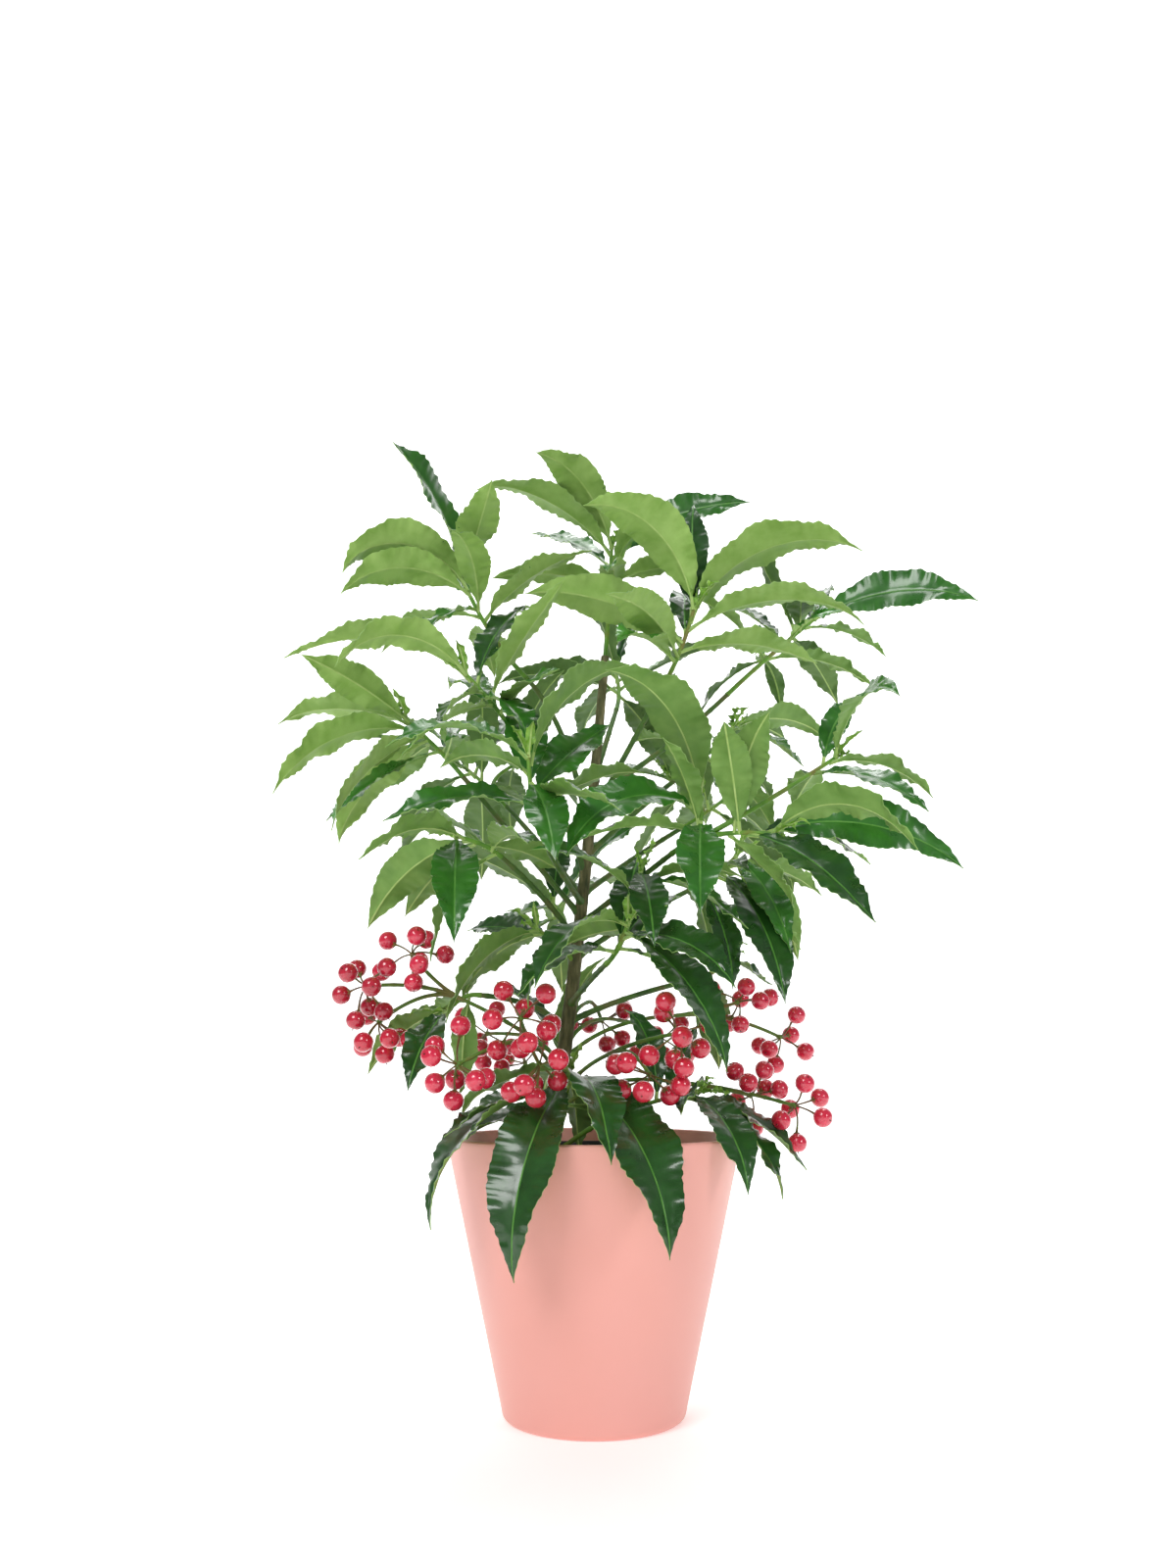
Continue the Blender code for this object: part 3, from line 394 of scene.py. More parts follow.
# %% Shoots and leaves
GOLDEN_ANGLE = 137.5
LOW_HALF_WIDTH = 0.156
HIGH_HALF_WIDTH = 0.136
LEAF_FOLD = 0.22
LEAF_STEPS = 24
LEAF_WIDTHS = (0.9, 1.12)
LEAF_LENGTHS = (0.88, 1.1)
LEAF_DROOP = (4.0, 22.0)
LEAF_ARCH = (26.0, 62.0)
LEAF_BEND = 26.0
LEAF_ROLL = 26.0
LEAF_TWIST = 34.0
TURN_SLACK = 14.0
SPREAD_SLACK = 9.0
LEAF_TRIES = 5
LEAF_SPACING = 2.6
FIRST_LEAF_BACK = 2.2
SHOWN_SPACING = 3.0
FIRST_SHOWN_BACK = 1.2
SHOWN_SLACK = 4.0
SHOWN_FREEDOM = 0.4
YOUNG_SPREAD = 42.0
OLD_SPREAD = 88.0
YOUNG_LENGTH = 0.72
YOUNG_LEAVES = 3
SHOOT_SWEEP = 0.45
TWIG_ROOT_RADIUS = 1.45
TWIG_RINGS = 3
STEM_LEAN = 38.0
BERRY_RADIUS = 4.3
PEDICEL_LENGTH = 14.5
PEDICEL_LENGTHS = (0.85, 1.12)
BERRY_TRIES = 6
BERRY_TURN_SLACK = 25.0
BERRY_TRY_TURN = 40.0
UMBEL_FRONT = 0.9
UMBEL_BACK = -0.75
BERRY_HANG = 0.25
FORK_LIFT = 8.0


@dataclass
class Shoot:
    """One leafy shoot: where it ends, its leaves, and those that stand out one by one."""

    tip: tuple
    leaves: int
    length: float
    forks_at: float = 0.0
    phase: float = 0.0
    shown: list = field(default_factory=list)


@dataclass
class Umbel:
    """A bunch of berries that spring from one point on pedicels of like length."""

    centre: tuple
    berries: int


@dataclass
class Leaf:
    """A blade that leaves its base at a heading and a rise, and arches over along its length."""

    base: Vector
    heading: float
    rise: float
    length: float
    width: float
    arch: float
    bend: float
    roll: float
    twist: float


# Masses of leaves: what carries them (a bough, or a height on the trunk), then their shoots.
# A shown leaf is heading, rise, length, roll and arch: degrees from +X towards +Y, degrees above
# level, millimetres, degrees about its own length, and degrees that it bends down from end to end.
FOLIAGE = {
    "leaves_leader": ("top", [
        Shoot((9, 3, 393), 10, 62, phase=20, shown=[
            (236, 20, 73, 40, 85), (204, 18, 78, 10, 60), (346, 17, 76, 70, 60), (138, 30, 64, -20, 30),
            (322, 22, 54, 0, 85)]),
    ]),
    "leaves_upper_left": ("bough_upper_left", [
        Shoot((-62, -20, 369), 11, 64, phase=80, shown=[
            (287, 20, 65, 10, 20), (242, 35, 80, -80, 70), (212, -6, 76, 45, 115), (213, -12, 72, 40, 85),
            (143, 42, 60, -40, 30), (232, -34, 46, 0, 40)]),
    ]),
    "leaves_left_inner": ("bough_left_inner", [
        Shoot((-57, -42, 315), 9, 60, phase=150, shown=[
            (216, 4, 74, 25, 110), (190, 2, 88, -2, 80), (64, 44, 62, 0, 50), (249, -34, 56, 20, 40),
            (298, -34, 54, 0, 40)]),
    ]),
    "leaves_left": ("bough_left", [
        Shoot((-88, -2, 304), 10, 66, phase=10, shown=[
            (230, 15, 66, 50, 20), (172, 4, 70, 30, 50), (204, -30, 80, 25, 75), (232, -44, 78, 45, 40),
            (163, -46, 68, 30, 50)]),
    ]),
    "leaves_left_low": ("bough_left_low", [
        Shoot((-61, -36, 243), 9, 60, phase=60, shown=[
            (276, -50, 68, 0, 50), (226, -18, 60, 20, 70), (150, -34, 70, 30, 60), (132, -28, 62, 40, 30),
            (40, -12, 48, -20, 40)]),
    ]),
    "leaves_front_left": ("bough_front_left", [
        Shoot((-27, -76, 270), 9, 60, phase=120, shown=[
            (208, -4, 66, -35, 75), (33, 44, 76, -30, 60), (140, 12, 56, 30, 50), (284, -42, 62, 0, 30),
            (104, 54, 60, 0, 30), (48, 38, 64, 20, 20)]),
    ]),
    "leaves_upper_right": ("bough_upper_right", [
        Shoot((46, -30, 350), 10, 68, phase=200, shown=[
            (220, 24, 84, 30, 110), (80, 76, 66, 0, 10), (344, 17, 96, -25, 100), (350, -1, 86, -12, 70),
            (84, 40, 60, 0, 40), (188, 15, 78, 45, 45)]),
    ]),
    "leaves_far_right": ("bough_far_right", [
        Shoot((111, 22, 363), 8, 58, phase=250, shown=[
            (341, 0, 82, 78, 55), (62, 38, 52, 0, 40), (22, -12, 50, 25, 50), (262, 2, 48, 0, 30)]),
        Shoot((86, 36, 346), 5, 56, forks_at=0.35, phase=300),
    ]),
    "leaves_right_mid": ("bough_right_mid", [
        Shoot((68, 20, 306), 8, 62, phase=30, shown=[
            (30, 2, 64, -30, 60), (302, -28, 62, 0, 50), (50, 10, 62, -30, 50)]),
    ]),
    "leaves_right_front": ("bough_right_front", [
        Shoot((73, -75, 237), 7, 60, phase=90, shown=[
            (322, -14, 72, -45, 105), (4, -10, 88, 65, 60), (22, -8, 62, 20, 50), (313, -36, 74, 30, 40),
            (256, 40, 58, 0, 50)]),
        Shoot((105, -45, 276), 5, 52, forks_at=0.25, phase=140, shown=[
            (288, 14, 64, 30, 100), (10, -18, 52, -10, 65), (44, 50, 46, 50, 50)]),
        Shoot((44, -63, 254), 5, 60, forks_at=0.20, phase=180, shown=[
            (212, 48, 82, 0, 95), (206, -22, 74, -35, 95), (264, -46, 62, 0, 40), (240, 44, 46, 0, 30)]),
    ]),
    "leaves_right_low": ("bough_right_low", [
        Shoot((66, 0, 240), 8, 60, phase=45, shown=[
            (302, -52, 62, 20, 50), (38, -46, 66, -30, 70), (20, -26, 60, 0, 50), (298, -54, 80, 15, 50)]),
    ]),
    "leaves_centre_low": ("bough_centre_low", [
        Shoot((14, -62, 203), 7, 58, phase=15, shown=[
            (229, -30, 66, 20, 85), (323, -50, 76, 15, 50), (318, -22, 64, 20, 60), (80, 44, 50, 0, 20)]),
        Shoot((20, -42, 228), 4, 52, forks_at=0.3, phase=75, shown=[
            (272, -44, 56, 0, 40), (330, -28, 56, 20, 50)]),
    ]),
    "leaves_left_fall": (194, [
        Shoot((-26, -14, 205), 6, 58, phase=190, shown=[(220, -42, 66, 45, 60), (140, -28, 60, 30, 50)]),
    ]),
    "leaves_pot_front": (112, [
        Shoot((-10, -33, 142), 7, 60, phase=240, shown=[
            (243, -58, 98, 0, 78), (309, -47, 98, 0, 80), (287, -28, 74, 0, 110), (214, -39, 92, 0, 88),
            (226, -16, 62, 0, 60)]),
    ]),
    "leaves_right_foot": (110, [
        Shoot((46, -12, 134), 7, 50, phase=0, shown=[
            (256, -10, 46, 30, 50), (298, -42, 62, 0, 70), (335, -42, 64, 0, 60), (352, -32, 66, 0, 60),
            (60, 38, 42, 0, 20)]),
    ]),
    "leaves_left_foot": ("bough_low_left", [
        Shoot((-66, -6, 168), 5, 48, phase=100, shown=[(252, -42, 52, 0, 40), (158, -34, 54, 20, 40)]),
    ]),
    "leaves_back_high": ("bough_back_high", [Shoot((12, 62, 348), 8, 66, phase=70)]),
    "leaves_back_left": ("bough_back_left", [
        Shoot((-66, 66, 296), 8, 68, phase=130),
        Shoot((-30, 78, 306), 5, 62, forks_at=0.2, phase=20),
    ]),
    "leaves_back_right": ("bough_back_right", [
        Shoot((74, 66, 284), 8, 68, phase=215),
        Shoot((40, 86, 296), 5, 62, forks_at=0.2, phase=60),
    ]),
    "leaves_back_low": ("bough_back_low", [Shoot((-22, 82, 228), 8, 64, phase=310)]),
    "leaves_back_foot": (134, [Shoot((-14, 40, 150), 7, 56, phase=95)]),
    "leaves_low_right": ("bough_low_right", [Shoot((66, 34, 196), 6, 54, phase=260)]),
}

# Masses of berries: what carries them, how far out their stalk forks, and their umbels
BERRIES = {
    "berries_left": (150, 0.55, [
        Umbel((-80, -18, 193), 8), Umbel((-99, -22, 179), 8), Umbel((-94, -16, 164), 7)]),
    "berries_front": (140, 0.45, [
        Umbel((-30, -58, 164), 7), Umbel((-55, -56, 146), 8), Umbel((-22, -64, 146), 8)]),
    "berries_middle": (135, 0.5, [
        Umbel((33, -60, 158), 8), Umbel((22, -58, 142), 7)]),
    "berries_behind": (166, 0.5, [Umbel((4, 44, 166), 6)]),
    "berries_right": (152, 0.55, [Umbel((68, 26, 174), 7), Umbel((88, 30, 158), 6)]),
    "berries_right_low": (129, 0.55, [Umbel((70, 2, 132), 7), Umbel((88, -6, 128), 7)]),
    "berries_back_left": (146, 0.5, [Umbel((-52, 52, 160), 6), Umbel((-34, 66, 146), 5)]),
    "berries_back_right": (158, 0.5, [Umbel((34, 66, 158), 6)]),
}

# %% [markdown]
# ## The growth rule
# The functions below are the rule itself: the curve of the trunk and of each bough, the line of a
# shoot, and the base, heading, length and twist of each leaf and berry. Nothing is moved by hand.

# %% Growth rule
def blend(low, high, amount):
    return low + (high - low) * amount


def bezier(start, control, end, t):
    """A point on the quadratic curve from start to end."""
    return start * (1 - t) ** 2 + control * (2 * t * (1 - t)) + end * t ** 2


def trunk_share(height):
    return (height - TRUNK_FOOT.z) / (TRUNK_TOP.z - TRUNK_FOOT.z)


def trunk_point(height):
    """The trunk leans to the right, bowed a little, with a slight sway from back to front."""
    share = trunk_share(height)
    point = TRUNK_FOOT.lerp(TRUNK_TOP, share)
    point.x += TRUNK_BOW * math.sin(math.pi * share)
    point.y += TRUNK_SWAY * math.sin(2 * math.pi * share)
    return point


def trunk_radius(height):
    taper = blend(TRUNK_FOOT_RADIUS, TRUNK_TOP_RADIUS, trunk_share(height))
    return taper + ROOT_FLARE * math.exp(-(height - TRUNK_FOOT.z) / FLARE_HEIGHT)


def bough_curve(name):
    """Start, control and end of a bough, which climbs first where its steepness is over a half."""
    height, tip, steep = BOUGHS[name]
    start = trunk_point(height)
    end = Vector(tip)
    control = Vector((
        blend(start.x, end.x, 1 - steep),
        blend(start.y, end.y, 1 - steep),
        blend(start.z, end.z, steep),
    ))
    return start, control, end


def side_axes(direction):
    """Two unit vectors square to a direction and to each other."""
    reference = Vector((0, 0, 1)) if abs(direction.z) < 0.9 else Vector((1, 0, 0))
    across = direction.cross(reference).normalized()
    return across, across.cross(direction).normalized()


def leaf_frames(leaf):
    """Centre line of a leaf: at each step its point, the way across it and its upper side."""
    point = leaf.base.copy()
    frames = []
    for step in range(LEAF_STEPS + 1):
        share = step / LEAF_STEPS
        heading = math.radians(leaf.heading + leaf.bend * (share - 0.5))
        rise = math.radians(leaf.rise + leaf.arch * (0.5 - share))
        along = Vector((
            math.cos(rise) * math.cos(heading),
            math.cos(rise) * math.sin(heading),
            math.sin(rise),
        ))
        level = Vector((-math.sin(heading), math.cos(heading), 0.0))
        turn = Matrix.Rotation(math.radians(leaf.roll + leaf.twist * share), 3, along)
        across = turn @ level
        frames.append((point.copy(), across, along.cross(across)))
        point += along * (leaf.length / LEAF_STEPS)
    return frames


def shoot_path(start, direction, tip, rings):
    """Points of a shoot that sets out along a direction and curves to its tip."""
    end = Vector(tip)
    control = start + direction * ((end - start).length * SHOOT_SWEEP)
    shares = [ring / rings for ring in range(rings + 1)]
    return [bezier(start, control, end, share) for share in shares]


def along_path(points, share):
    """The point a share of the way along a row of points, and the direction there."""
    place = min(max(share, 0.0), 0.9999) * (len(points) - 1)
    index = int(place)
    step = points[index + 1] - points[index]
    return points[index] + step * (place - index), step.normalized()


def mass_foot(carrier, towards):
    """Where a mass's stem starts, GAP clear of the limb that carries it, and its direction."""
    if carrier == "top":
        direction = (trunk_point(TRUNK_TOP.z) - trunk_point(TRUNK_TOP.z - 5)).normalized()
        return TRUNK_TOP + direction * GAP, direction
    if isinstance(carrier, str):
        start, control, end = bough_curve(carrier)
        direction = (end - control).normalized()
        return end + direction * GAP, direction
    axis = trunk_point(carrier)
    outwards = Vector(towards) - axis
    outwards.z = 0.0
    outwards.normalize()
    lean = math.radians(STEM_LEAN)
    clear = trunk_radius(carrier) + GAP + TWIG_ROOT_RADIUS * math.sin(lean) + GAP
    direction = outwards * math.cos(lean) + Vector((0, 0, math.sin(lean)))
    return axis + outwards * clear, direction


def rule_leaf(name, shoot, points, index, attempt):
    """Leaf number index of a shoot: a golden-angle spiral, upright at the tip, spread lower down."""
    rng = random.Random(f"{name} leaf {index} try {attempt}")
    total = sum((b - a).length for a, b in zip(points, points[1:]))
    back = FIRST_LEAF_BACK + LEAF_SPACING * index
    base, axis = along_path(points, 1 - back / total)
    across, up = side_axes(axis)
    turn = math.radians(shoot.phase + index * GOLDEN_ANGLE + rng.uniform(-TURN_SLACK, TURN_SLACK))
    spread = blend(YOUNG_SPREAD, OLD_SPREAD, index / shoot.leaves)
    spread = math.radians(spread + rng.uniform(-SPREAD_SLACK, SPREAD_SLACK))
    outwards = across * math.cos(turn) + up * math.sin(turn)
    chord = axis * math.cos(spread) + outwards * math.sin(spread)
    heading = math.degrees(math.atan2(chord.y, chord.x))
    rise = math.degrees(math.asin(chord.z)) - rng.uniform(*LEAF_DROOP)
    age = min(index / YOUNG_LEAVES, 1.0)
    length = shoot.length * blend(YOUNG_LENGTH, 1.0, age) * rng.uniform(*LEAF_LENGTHS)
    return drawn_leaf(rng, base, heading, rise, length, 1.0)


def shown_leaf(name, shoot, points, index, attempt):
    """A leaf that stands out, at its own heading and rise, turned a little if it must give way."""
    rng = random.Random(f"{name} shown {index} try {attempt}")
    heading, rise, length, roll, arch = shoot.shown[index]
    total = sum((b - a).length for a, b in zip(points, points[1:]))
    base, _ = along_path(points, 1 - (FIRST_SHOWN_BACK + SHOWN_SPACING * index) / total)
    slack = SHOWN_SLACK * attempt
    heading += rng.uniform(-slack, slack)
    rise += rng.uniform(-slack, slack)
    leaf = drawn_leaf(rng, base, heading, rise, length, SHOWN_FREEDOM)
    leaf.roll += roll
    leaf.arch = arch
    return leaf


def drawn_leaf(rng, base, heading, rise, length, freedom):
    """A leaf with its own width, arch, bend, roll and twist: broad low down, slim near the top."""
    half_width = blend(LOW_HALF_WIDTH, HIGH_HALF_WIDTH, trunk_share(base.z))
    return Leaf(
        base=base,
        heading=heading,
        rise=rise,
        length=length,
        width=length * half_width * rng.uniform(*LEAF_WIDTHS),
        arch=rng.uniform(*LEAF_ARCH),
        bend=rng.uniform(-LEAF_BEND, LEAF_BEND) * freedom,
        roll=rng.uniform(-LEAF_ROLL, LEAF_ROLL) * freedom,
        twist=rng.uniform(-LEAF_TWIST, LEAF_TWIST) * freedom,
    )


def umbel_berry(name, umbel, node, axis, index, attempt):
    """Where berry number index of an umbel hangs, on a spiral round the umbel's axis."""
    rng = random.Random(f"{name} berry {index} try {attempt}")
    across, up = side_axes(axis)
    slack = rng.uniform(-BERRY_TURN_SLACK, BERRY_TURN_SLACK)
    turn = math.radians(index * GOLDEN_ANGLE + slack + BERRY_TRY_TURN * attempt)
    open_angle = math.acos(blend(UMBEL_FRONT, UMBEL_BACK, (index + 0.5) / umbel.berries))
    way = axis * math.cos(open_angle)
    way += (across * math.cos(turn) + up * math.sin(turn)) * math.sin(open_angle)
    way = (way + Vector((0, 0, -BERRY_HANG))).normalized()
    return node + way * (PEDICEL_LENGTH * rng.uniform(*PEDICEL_LENGTHS))


def mass_shoots(carrier, shoots):
    """Start, direction and tip of each shoot of a mass: the rest fork off the first."""
    foot, direction = mass_foot(carrier, shoots[0].tip)
    ways = [(foot, direction, shoots[0].tip)]
    first = shoot_path(*ways[0], TWIG_RINGS)
    for shoot in shoots[1:]:
        start, along = along_path(first, shoot.forks_at)
        ways.append((start, along, shoot.tip))
    return ways


def berry_ways(carrier, fork_share, umbels):
    """Start, direction and tip of a berry mass's stem, then of the stalk to each umbel."""
    middle = sum((Vector(umbel.centre) for umbel in umbels), Vector()) / len(umbels)
    foot, direction = mass_foot(carrier, middle)
    fork = foot.lerp(middle, fork_share) + Vector((0, 0, FORK_LIFT))
    stem = shoot_path(foot, direction, fork, TWIG_RINGS)
    onwards = (stem[-1] - stem[-2]).normalized()
    return [(foot, direction, fork)] + [(fork, onwards, umbel.centre) for umbel in umbels]


# %% [markdown]
# ## Which leaves the solids hold
# The solids leave out a leaf that would have touched another. To find out which, there is no need
# to test for touching again: a leaf that grew has its tip among the corners of its solid.

# %% Leaves and berries that grew
SAME_PLACE = 0.3 * MM


def corner_tree(node):
    """The corners of a solid, ready to be searched by place."""
    vertices = frame["nodes"][node].data.vertices
    tree = KDTree(len(vertices))
    for index, vertex in enumerate(vertices):
        tree.insert(vertex.co, index)
    tree.balance()
    return tree


def has_corner(tree, point):
    return tree.find(point * MM)[2] < SAME_PLACE


def leaves_of(mass):
    """Shoot number, index and leaf for every leaf that the solid of a mass holds."""
    tree = corner_tree(mass)
    carrier, shoots = FOLIAGE[mass]
    grown = []
    for number, (shoot, way) in enumerate(zip(shoots, mass_shoots(carrier, shoots))):
        points = shoot_path(*way, TWIG_RINGS)
        for index in range(max(shoot.leaves, len(shoot.shown))):
            maker = shown_leaf if index < len(shoot.shown) else rule_leaf
            for attempt in range(LEAF_TRIES):
                leaf = maker(f"{mass} shoot {number}", shoot, points, index, attempt)
                if has_corner(tree, leaf_frames(leaf)[-1][0]):
                    grown.append((number, index, leaf))
                    break
    return grown


# %% [markdown]
# ## One leaf as a mesh
# A real blade is lance-shaped, with a short stalk, rounded teeth, a sunken midrib, side veins that
# quilt it, and a margin that waves up and down. A flat picture on a card would lose all of that, so
# the blade is a grid: columns across it, and four rows to each tooth along it. The upper and lower
# skins are a thin leaf's thickness apart, and narrow faces close the margin.

# %% Leaf sizes
OUTLINE_SKEW = 0.9
OUTLINE_AT_STALK = 1.1
OUTLINE_TO_TIP = 0.25
TOOTH_PITCH = 4.2
TOOTH_DEPTH = 0.6
DEPTH_VARIES = 0.45
TOOTH_ROWS = 4
TOOTH_UNEVENNESS = 0.4
STALK_SHARE = 0.075
STALK_HALF = 0.75
TIP_HALF = 0.12
RIB_HALF = 0.36
RIB_DEPTH = 0.55
RIB_SINK = 0.2
STALK_DEPTH = 0.9
STALK_REACH = 1.7
FOLD_ROUNDING = 0.3
FULL_RELIEF_AT = 0.4
NO_TEETH_UNDER = 1.5
BLADE_THICKNESS = 0.40
VEIN_RELIEF = 0.09
VEIN_PITCH = 5.6
VEIN_WANDER = 0.35
WRINKLE = 0.17
WRINKLE_WAVES = 4
VEIN_SLANT = 1.1
TOOTH_RIPPLE = 0.42
MARGIN_WAVE = 1.6
WAVE_COUNTS = (2.2, 4.0)
TIP_CURL = (-3.5, 2.0)
CURL_FROM = 0.72
COLUMNS = np.array([-1.0, -0.7, -0.4, -0.14, 0.0, 0.0, 0.14, 0.4, 0.7, 1.0])
RIB_STRIP = 4


def leaf_line(leaf, shares):
    """Points, ways across and upper sides at shares of a leaf's length, on one smooth curve."""
    frames = leaf_frames(leaf)
    points = np.array([tuple(frame[0]) for frame in frames])
    padded = np.vstack([2 * points[0] - points[1], points, 2 * points[-1] - points[-2]])
    place = shares * LEAF_STEPS
    low = np.minimum(place.astype(int), LEAF_STEPS - 1)
    t = (place - low)[:, None]
    a, b, c, d = (padded[low + step] for step in range(4))
    line = 0.5 * (2 * b + (c - a) * t + (2 * a - 5 * b + 4 * c - d) * t ** 2
                  + (3 * b - a - 3 * c + d) * t ** 3)
    sideways = np.array([tuple(frame[1]) for frame in frames])
    across = unit(sideways[low] * (1 - t) + sideways[low + 1] * t)
    upper = unit(np.cross(np.gradient(line, axis=0), across))
    return line, across, upper


def leaf_outline(blade):
    """Half width of the blade as a share of its widest, from stalk to drawn-out tip."""
    skewed = blade ** OUTLINE_SKEW
    return (4 * skewed * (1 - skewed)) ** (OUTLINE_AT_STALK + OUTLINE_TO_TIP * blade)


# %% Leaf mesh
def grid_faces(rows, columns, start=0):
    """Four-cornered faces of a grid of corners."""
    row, column = np.meshgrid(np.arange(rows - 1), np.arange(columns - 1), indexing="ij")
    corner = start + row * columns + column
    steps = [0, columns, columns + 1, 1]
    return np.stack([(corner + step).ravel() for step in steps], axis=1)


def leaf_relief(rng, shares, teeth, veins_a_side, beside, fade):
    """Height of the blade above its fold: margin waves, tooth ripple and quilting veins."""
    waves = rng.uniform(*WAVE_COUNTS)
    height = rng.uniform(0.5, 1.0) * MARGIN_WAVE
    phases = np.where(COLUMNS < 0, rng.uniform(0, 1), rng.uniform(0, 1))
    wave = height * beside ** 2 * np.sin(2 * math.pi * (waves * shares[:, None] + phases))
    ripple = TOOTH_RIPPLE * beside ** 3 * np.cos(2 * math.pi * teeth * shares)[:, None]
    wander = VEIN_WANDER * np.sin(2 * math.pi * (rng.uniform(2, 4) * shares[:, None] + phases))
    vein_place = veins_a_side * shares[:, None] - VEIN_SLANT * beside + wander
    veins = -VEIN_RELIEF * np.sin(math.pi * beside) * np.cos(2 * math.pi * vein_place)
    wrinkles = np.zeros_like(beside)
    for _ in range(WRINKLE_WAVES):
        pitch = shares[:, None] * rng.uniform(4, 11) + COLUMNS * rng.uniform(-1.3, 1.3) + rng.random()
        wrinkles += WRINKLE * np.sin(2 * math.pi * pitch)
    return (wave + ripple + veins + wrinkles * np.sqrt(beside)) * fade[:, None]


def add_leaf(gather, name, leaf, top, under):
    """Add one leaf's closed mesh to a gathered piece, with its finish above and below."""
    rng = random.Random(name)
    teeth = max(4, round(leaf.length / TOOTH_PITCH))
    rows = teeth * TOOTH_ROWS + 1
    shares = np.linspace(0, 1, rows)
    line, across, upper = leaf_line(leaf, shares)
    blade = np.clip((shares - STALK_SHARE) / (1 - STALK_SHARE), 0, 1)
    outline = leaf_outline(blade)
    half = np.maximum(outline * leaf.width, STALK_HALF * (1 - blade) + TIP_HALF * blade)
    fade = np.minimum(outline / FULL_RELIEF_AT, 1.0)
    uneven = TOOTH_UNEVENNESS * np.sin(2 * math.pi * (rng.uniform(1.5, 3.0) * shares + rng.random()))
    swing = math.pi * (shares * teeth + uneven)
    notches = np.where(COLUMNS < 0, np.abs(np.sin(swing))[:, None], np.abs(np.cos(swing))[:, None])
    depth = TOOTH_DEPTH * (1 + DEPTH_VARIES * np.sin(2 * math.pi * (3.3 * shares + rng.random())))
    depth *= fade * (half > NO_TEETH_UNDER)
    margin = half[:, None] - depth[:, None] * (1 - notches) ** 1.3
    x = COLUMNS * margin
    x[:, RIB_STRIP] = -np.minimum(RIB_HALF, 0.3 * half)
    x[:, RIB_STRIP + 1] = -x[:, RIB_STRIP]
    beside = np.minimum(np.abs(x) / half[:, None], 1.0)
    lift = LEAF_FOLD * half[:, None] * ((1 + FOLD_ROUNDING) * beside - FOLD_ROUNDING * beside ** 2)
    curl = rng.uniform(*TIP_CURL) * (np.clip(blade - CURL_FROM, 0, 1) / (1 - CURL_FROM)) ** 2
    relief = leaf_relief(rng, shares, teeth, leaf.length / VEIN_PITCH, beside, fade)
    above = lift + relief + curl[:, None]
    above[:, RIB_STRIP:RIB_STRIP + 2] -= RIB_SINK * fade[:, None]
    stalk = np.clip(1 - shares / (STALK_REACH * STALK_SHARE), 0, 1)[:, None]
    below = above - BLADE_THICKNESS * (1 - 0.3 * beside) - STALK_DEPTH * stalk
    below[:, RIB_STRIP:RIB_STRIP + 2] -= (RIB_DEPTH * (1 - 0.8 * shares))[:, None]
    flat = line[:, None] + across[:, None] * x[..., None]
    skins = [flat + upper[:, None] * (height + BLADE_THICKNESS / 2)[..., None] for height in (above, below)]
    corners = np.concatenate([skin.reshape(-1, 3) for skin in skins])
    width = len(COLUMNS)
    faces, finishes = leaf_faces(rows, width, shares, top, under)
    gather.add(corners, faces, finishes)


def leaf_faces(rows, width, shares, top, under):
    """Faces of both skins, the margin and the ends of a leaf, with a finish for each."""
    second = rows * width
    upper_faces = grid_faces(rows, width)
    lower_faces = grid_faces(rows, width, second)[:, ::-1]
    left = np.arange(rows - 1) * width
    right = left + width - 1
    left_edge = np.stack([left, left + second, left + width + second, left + width], axis=1)
    right_edge = np.stack([right, right + width, right + width + second, right + second], axis=1)
    column = np.arange(width - 1)
    base = np.stack([column, column + 1, column + 1 + second, column + second], axis=1)
    tip = (base + (rows - 1) * width)[:, ::-1]
    strips = np.tile(column, rows - 1)
    on_stalk = np.repeat(shares[:-1] < STALK_SHARE, width - 1)
    above = np.where(on_stalk, MIDRIB_BELOW, np.where(strips == RIB_STRIP, MIDRIB_ABOVE, top))
    below = np.where(on_stalk | (strips == RIB_STRIP), MIDRIB_BELOW, under)
    rim = np.full(2 * (rows - 1) + 2 * (width - 1), MARGIN)
    finishes = np.concatenate([above, below, rim]).tolist()
    return [upper_faces, lower_faces, left_edge, right_edge, base, tip], finishes


# %% [markdown]
# ## Leaves of each mass
# Low and inner shoots carry old dark leaves, and the leaves near the top are younger and lighter.
# The shade of the tops is dealt out by shoot, from its height, and a leaf may be one shade off its shoot's.
# Undersides get painted light or painted shade by where they stand.
# Every shoot ends in a tuft of small young leaves round its bud.

# %% Growing the leaves
BUD_LEAVES = 3
BUD_LEAF_LENGTHS = (9.0, 18.0)
BUD_SPREAD = (16, 38)
BUD_HALF_WIDTH = 0.13
BUD_ARCH = (10, 35)
BUD_SLACK = 20
BUD_RISE = 0.3
OLD_BELOW = 215.0
YOUNG_ABOVE = 300.0
YOUNG_CHANCE = 0.4
OLD_CHANCE = 0.35
# Where undersides get painted light, and behind which they get painted shade.
PAINTED_LIT_ABOVE = 290.0
PAINTED_LIT_BEFORE = 20.0
PAINTED_SHADE_BEHIND = 30.0


def leaf_shade(rng, shoot):
    """0 for an old leaf, 1 for a grown one and 2 for a young one."""
    age = 0 if shoot.tip[2] < OLD_BELOW else 1
    if shoot.tip[2] > YOUNG_ABOVE and rng.random() < YOUNG_CHANCE:
        age = 2
    if age == 1 and rng.random() < OLD_CHANCE:
        age = 0
    return age


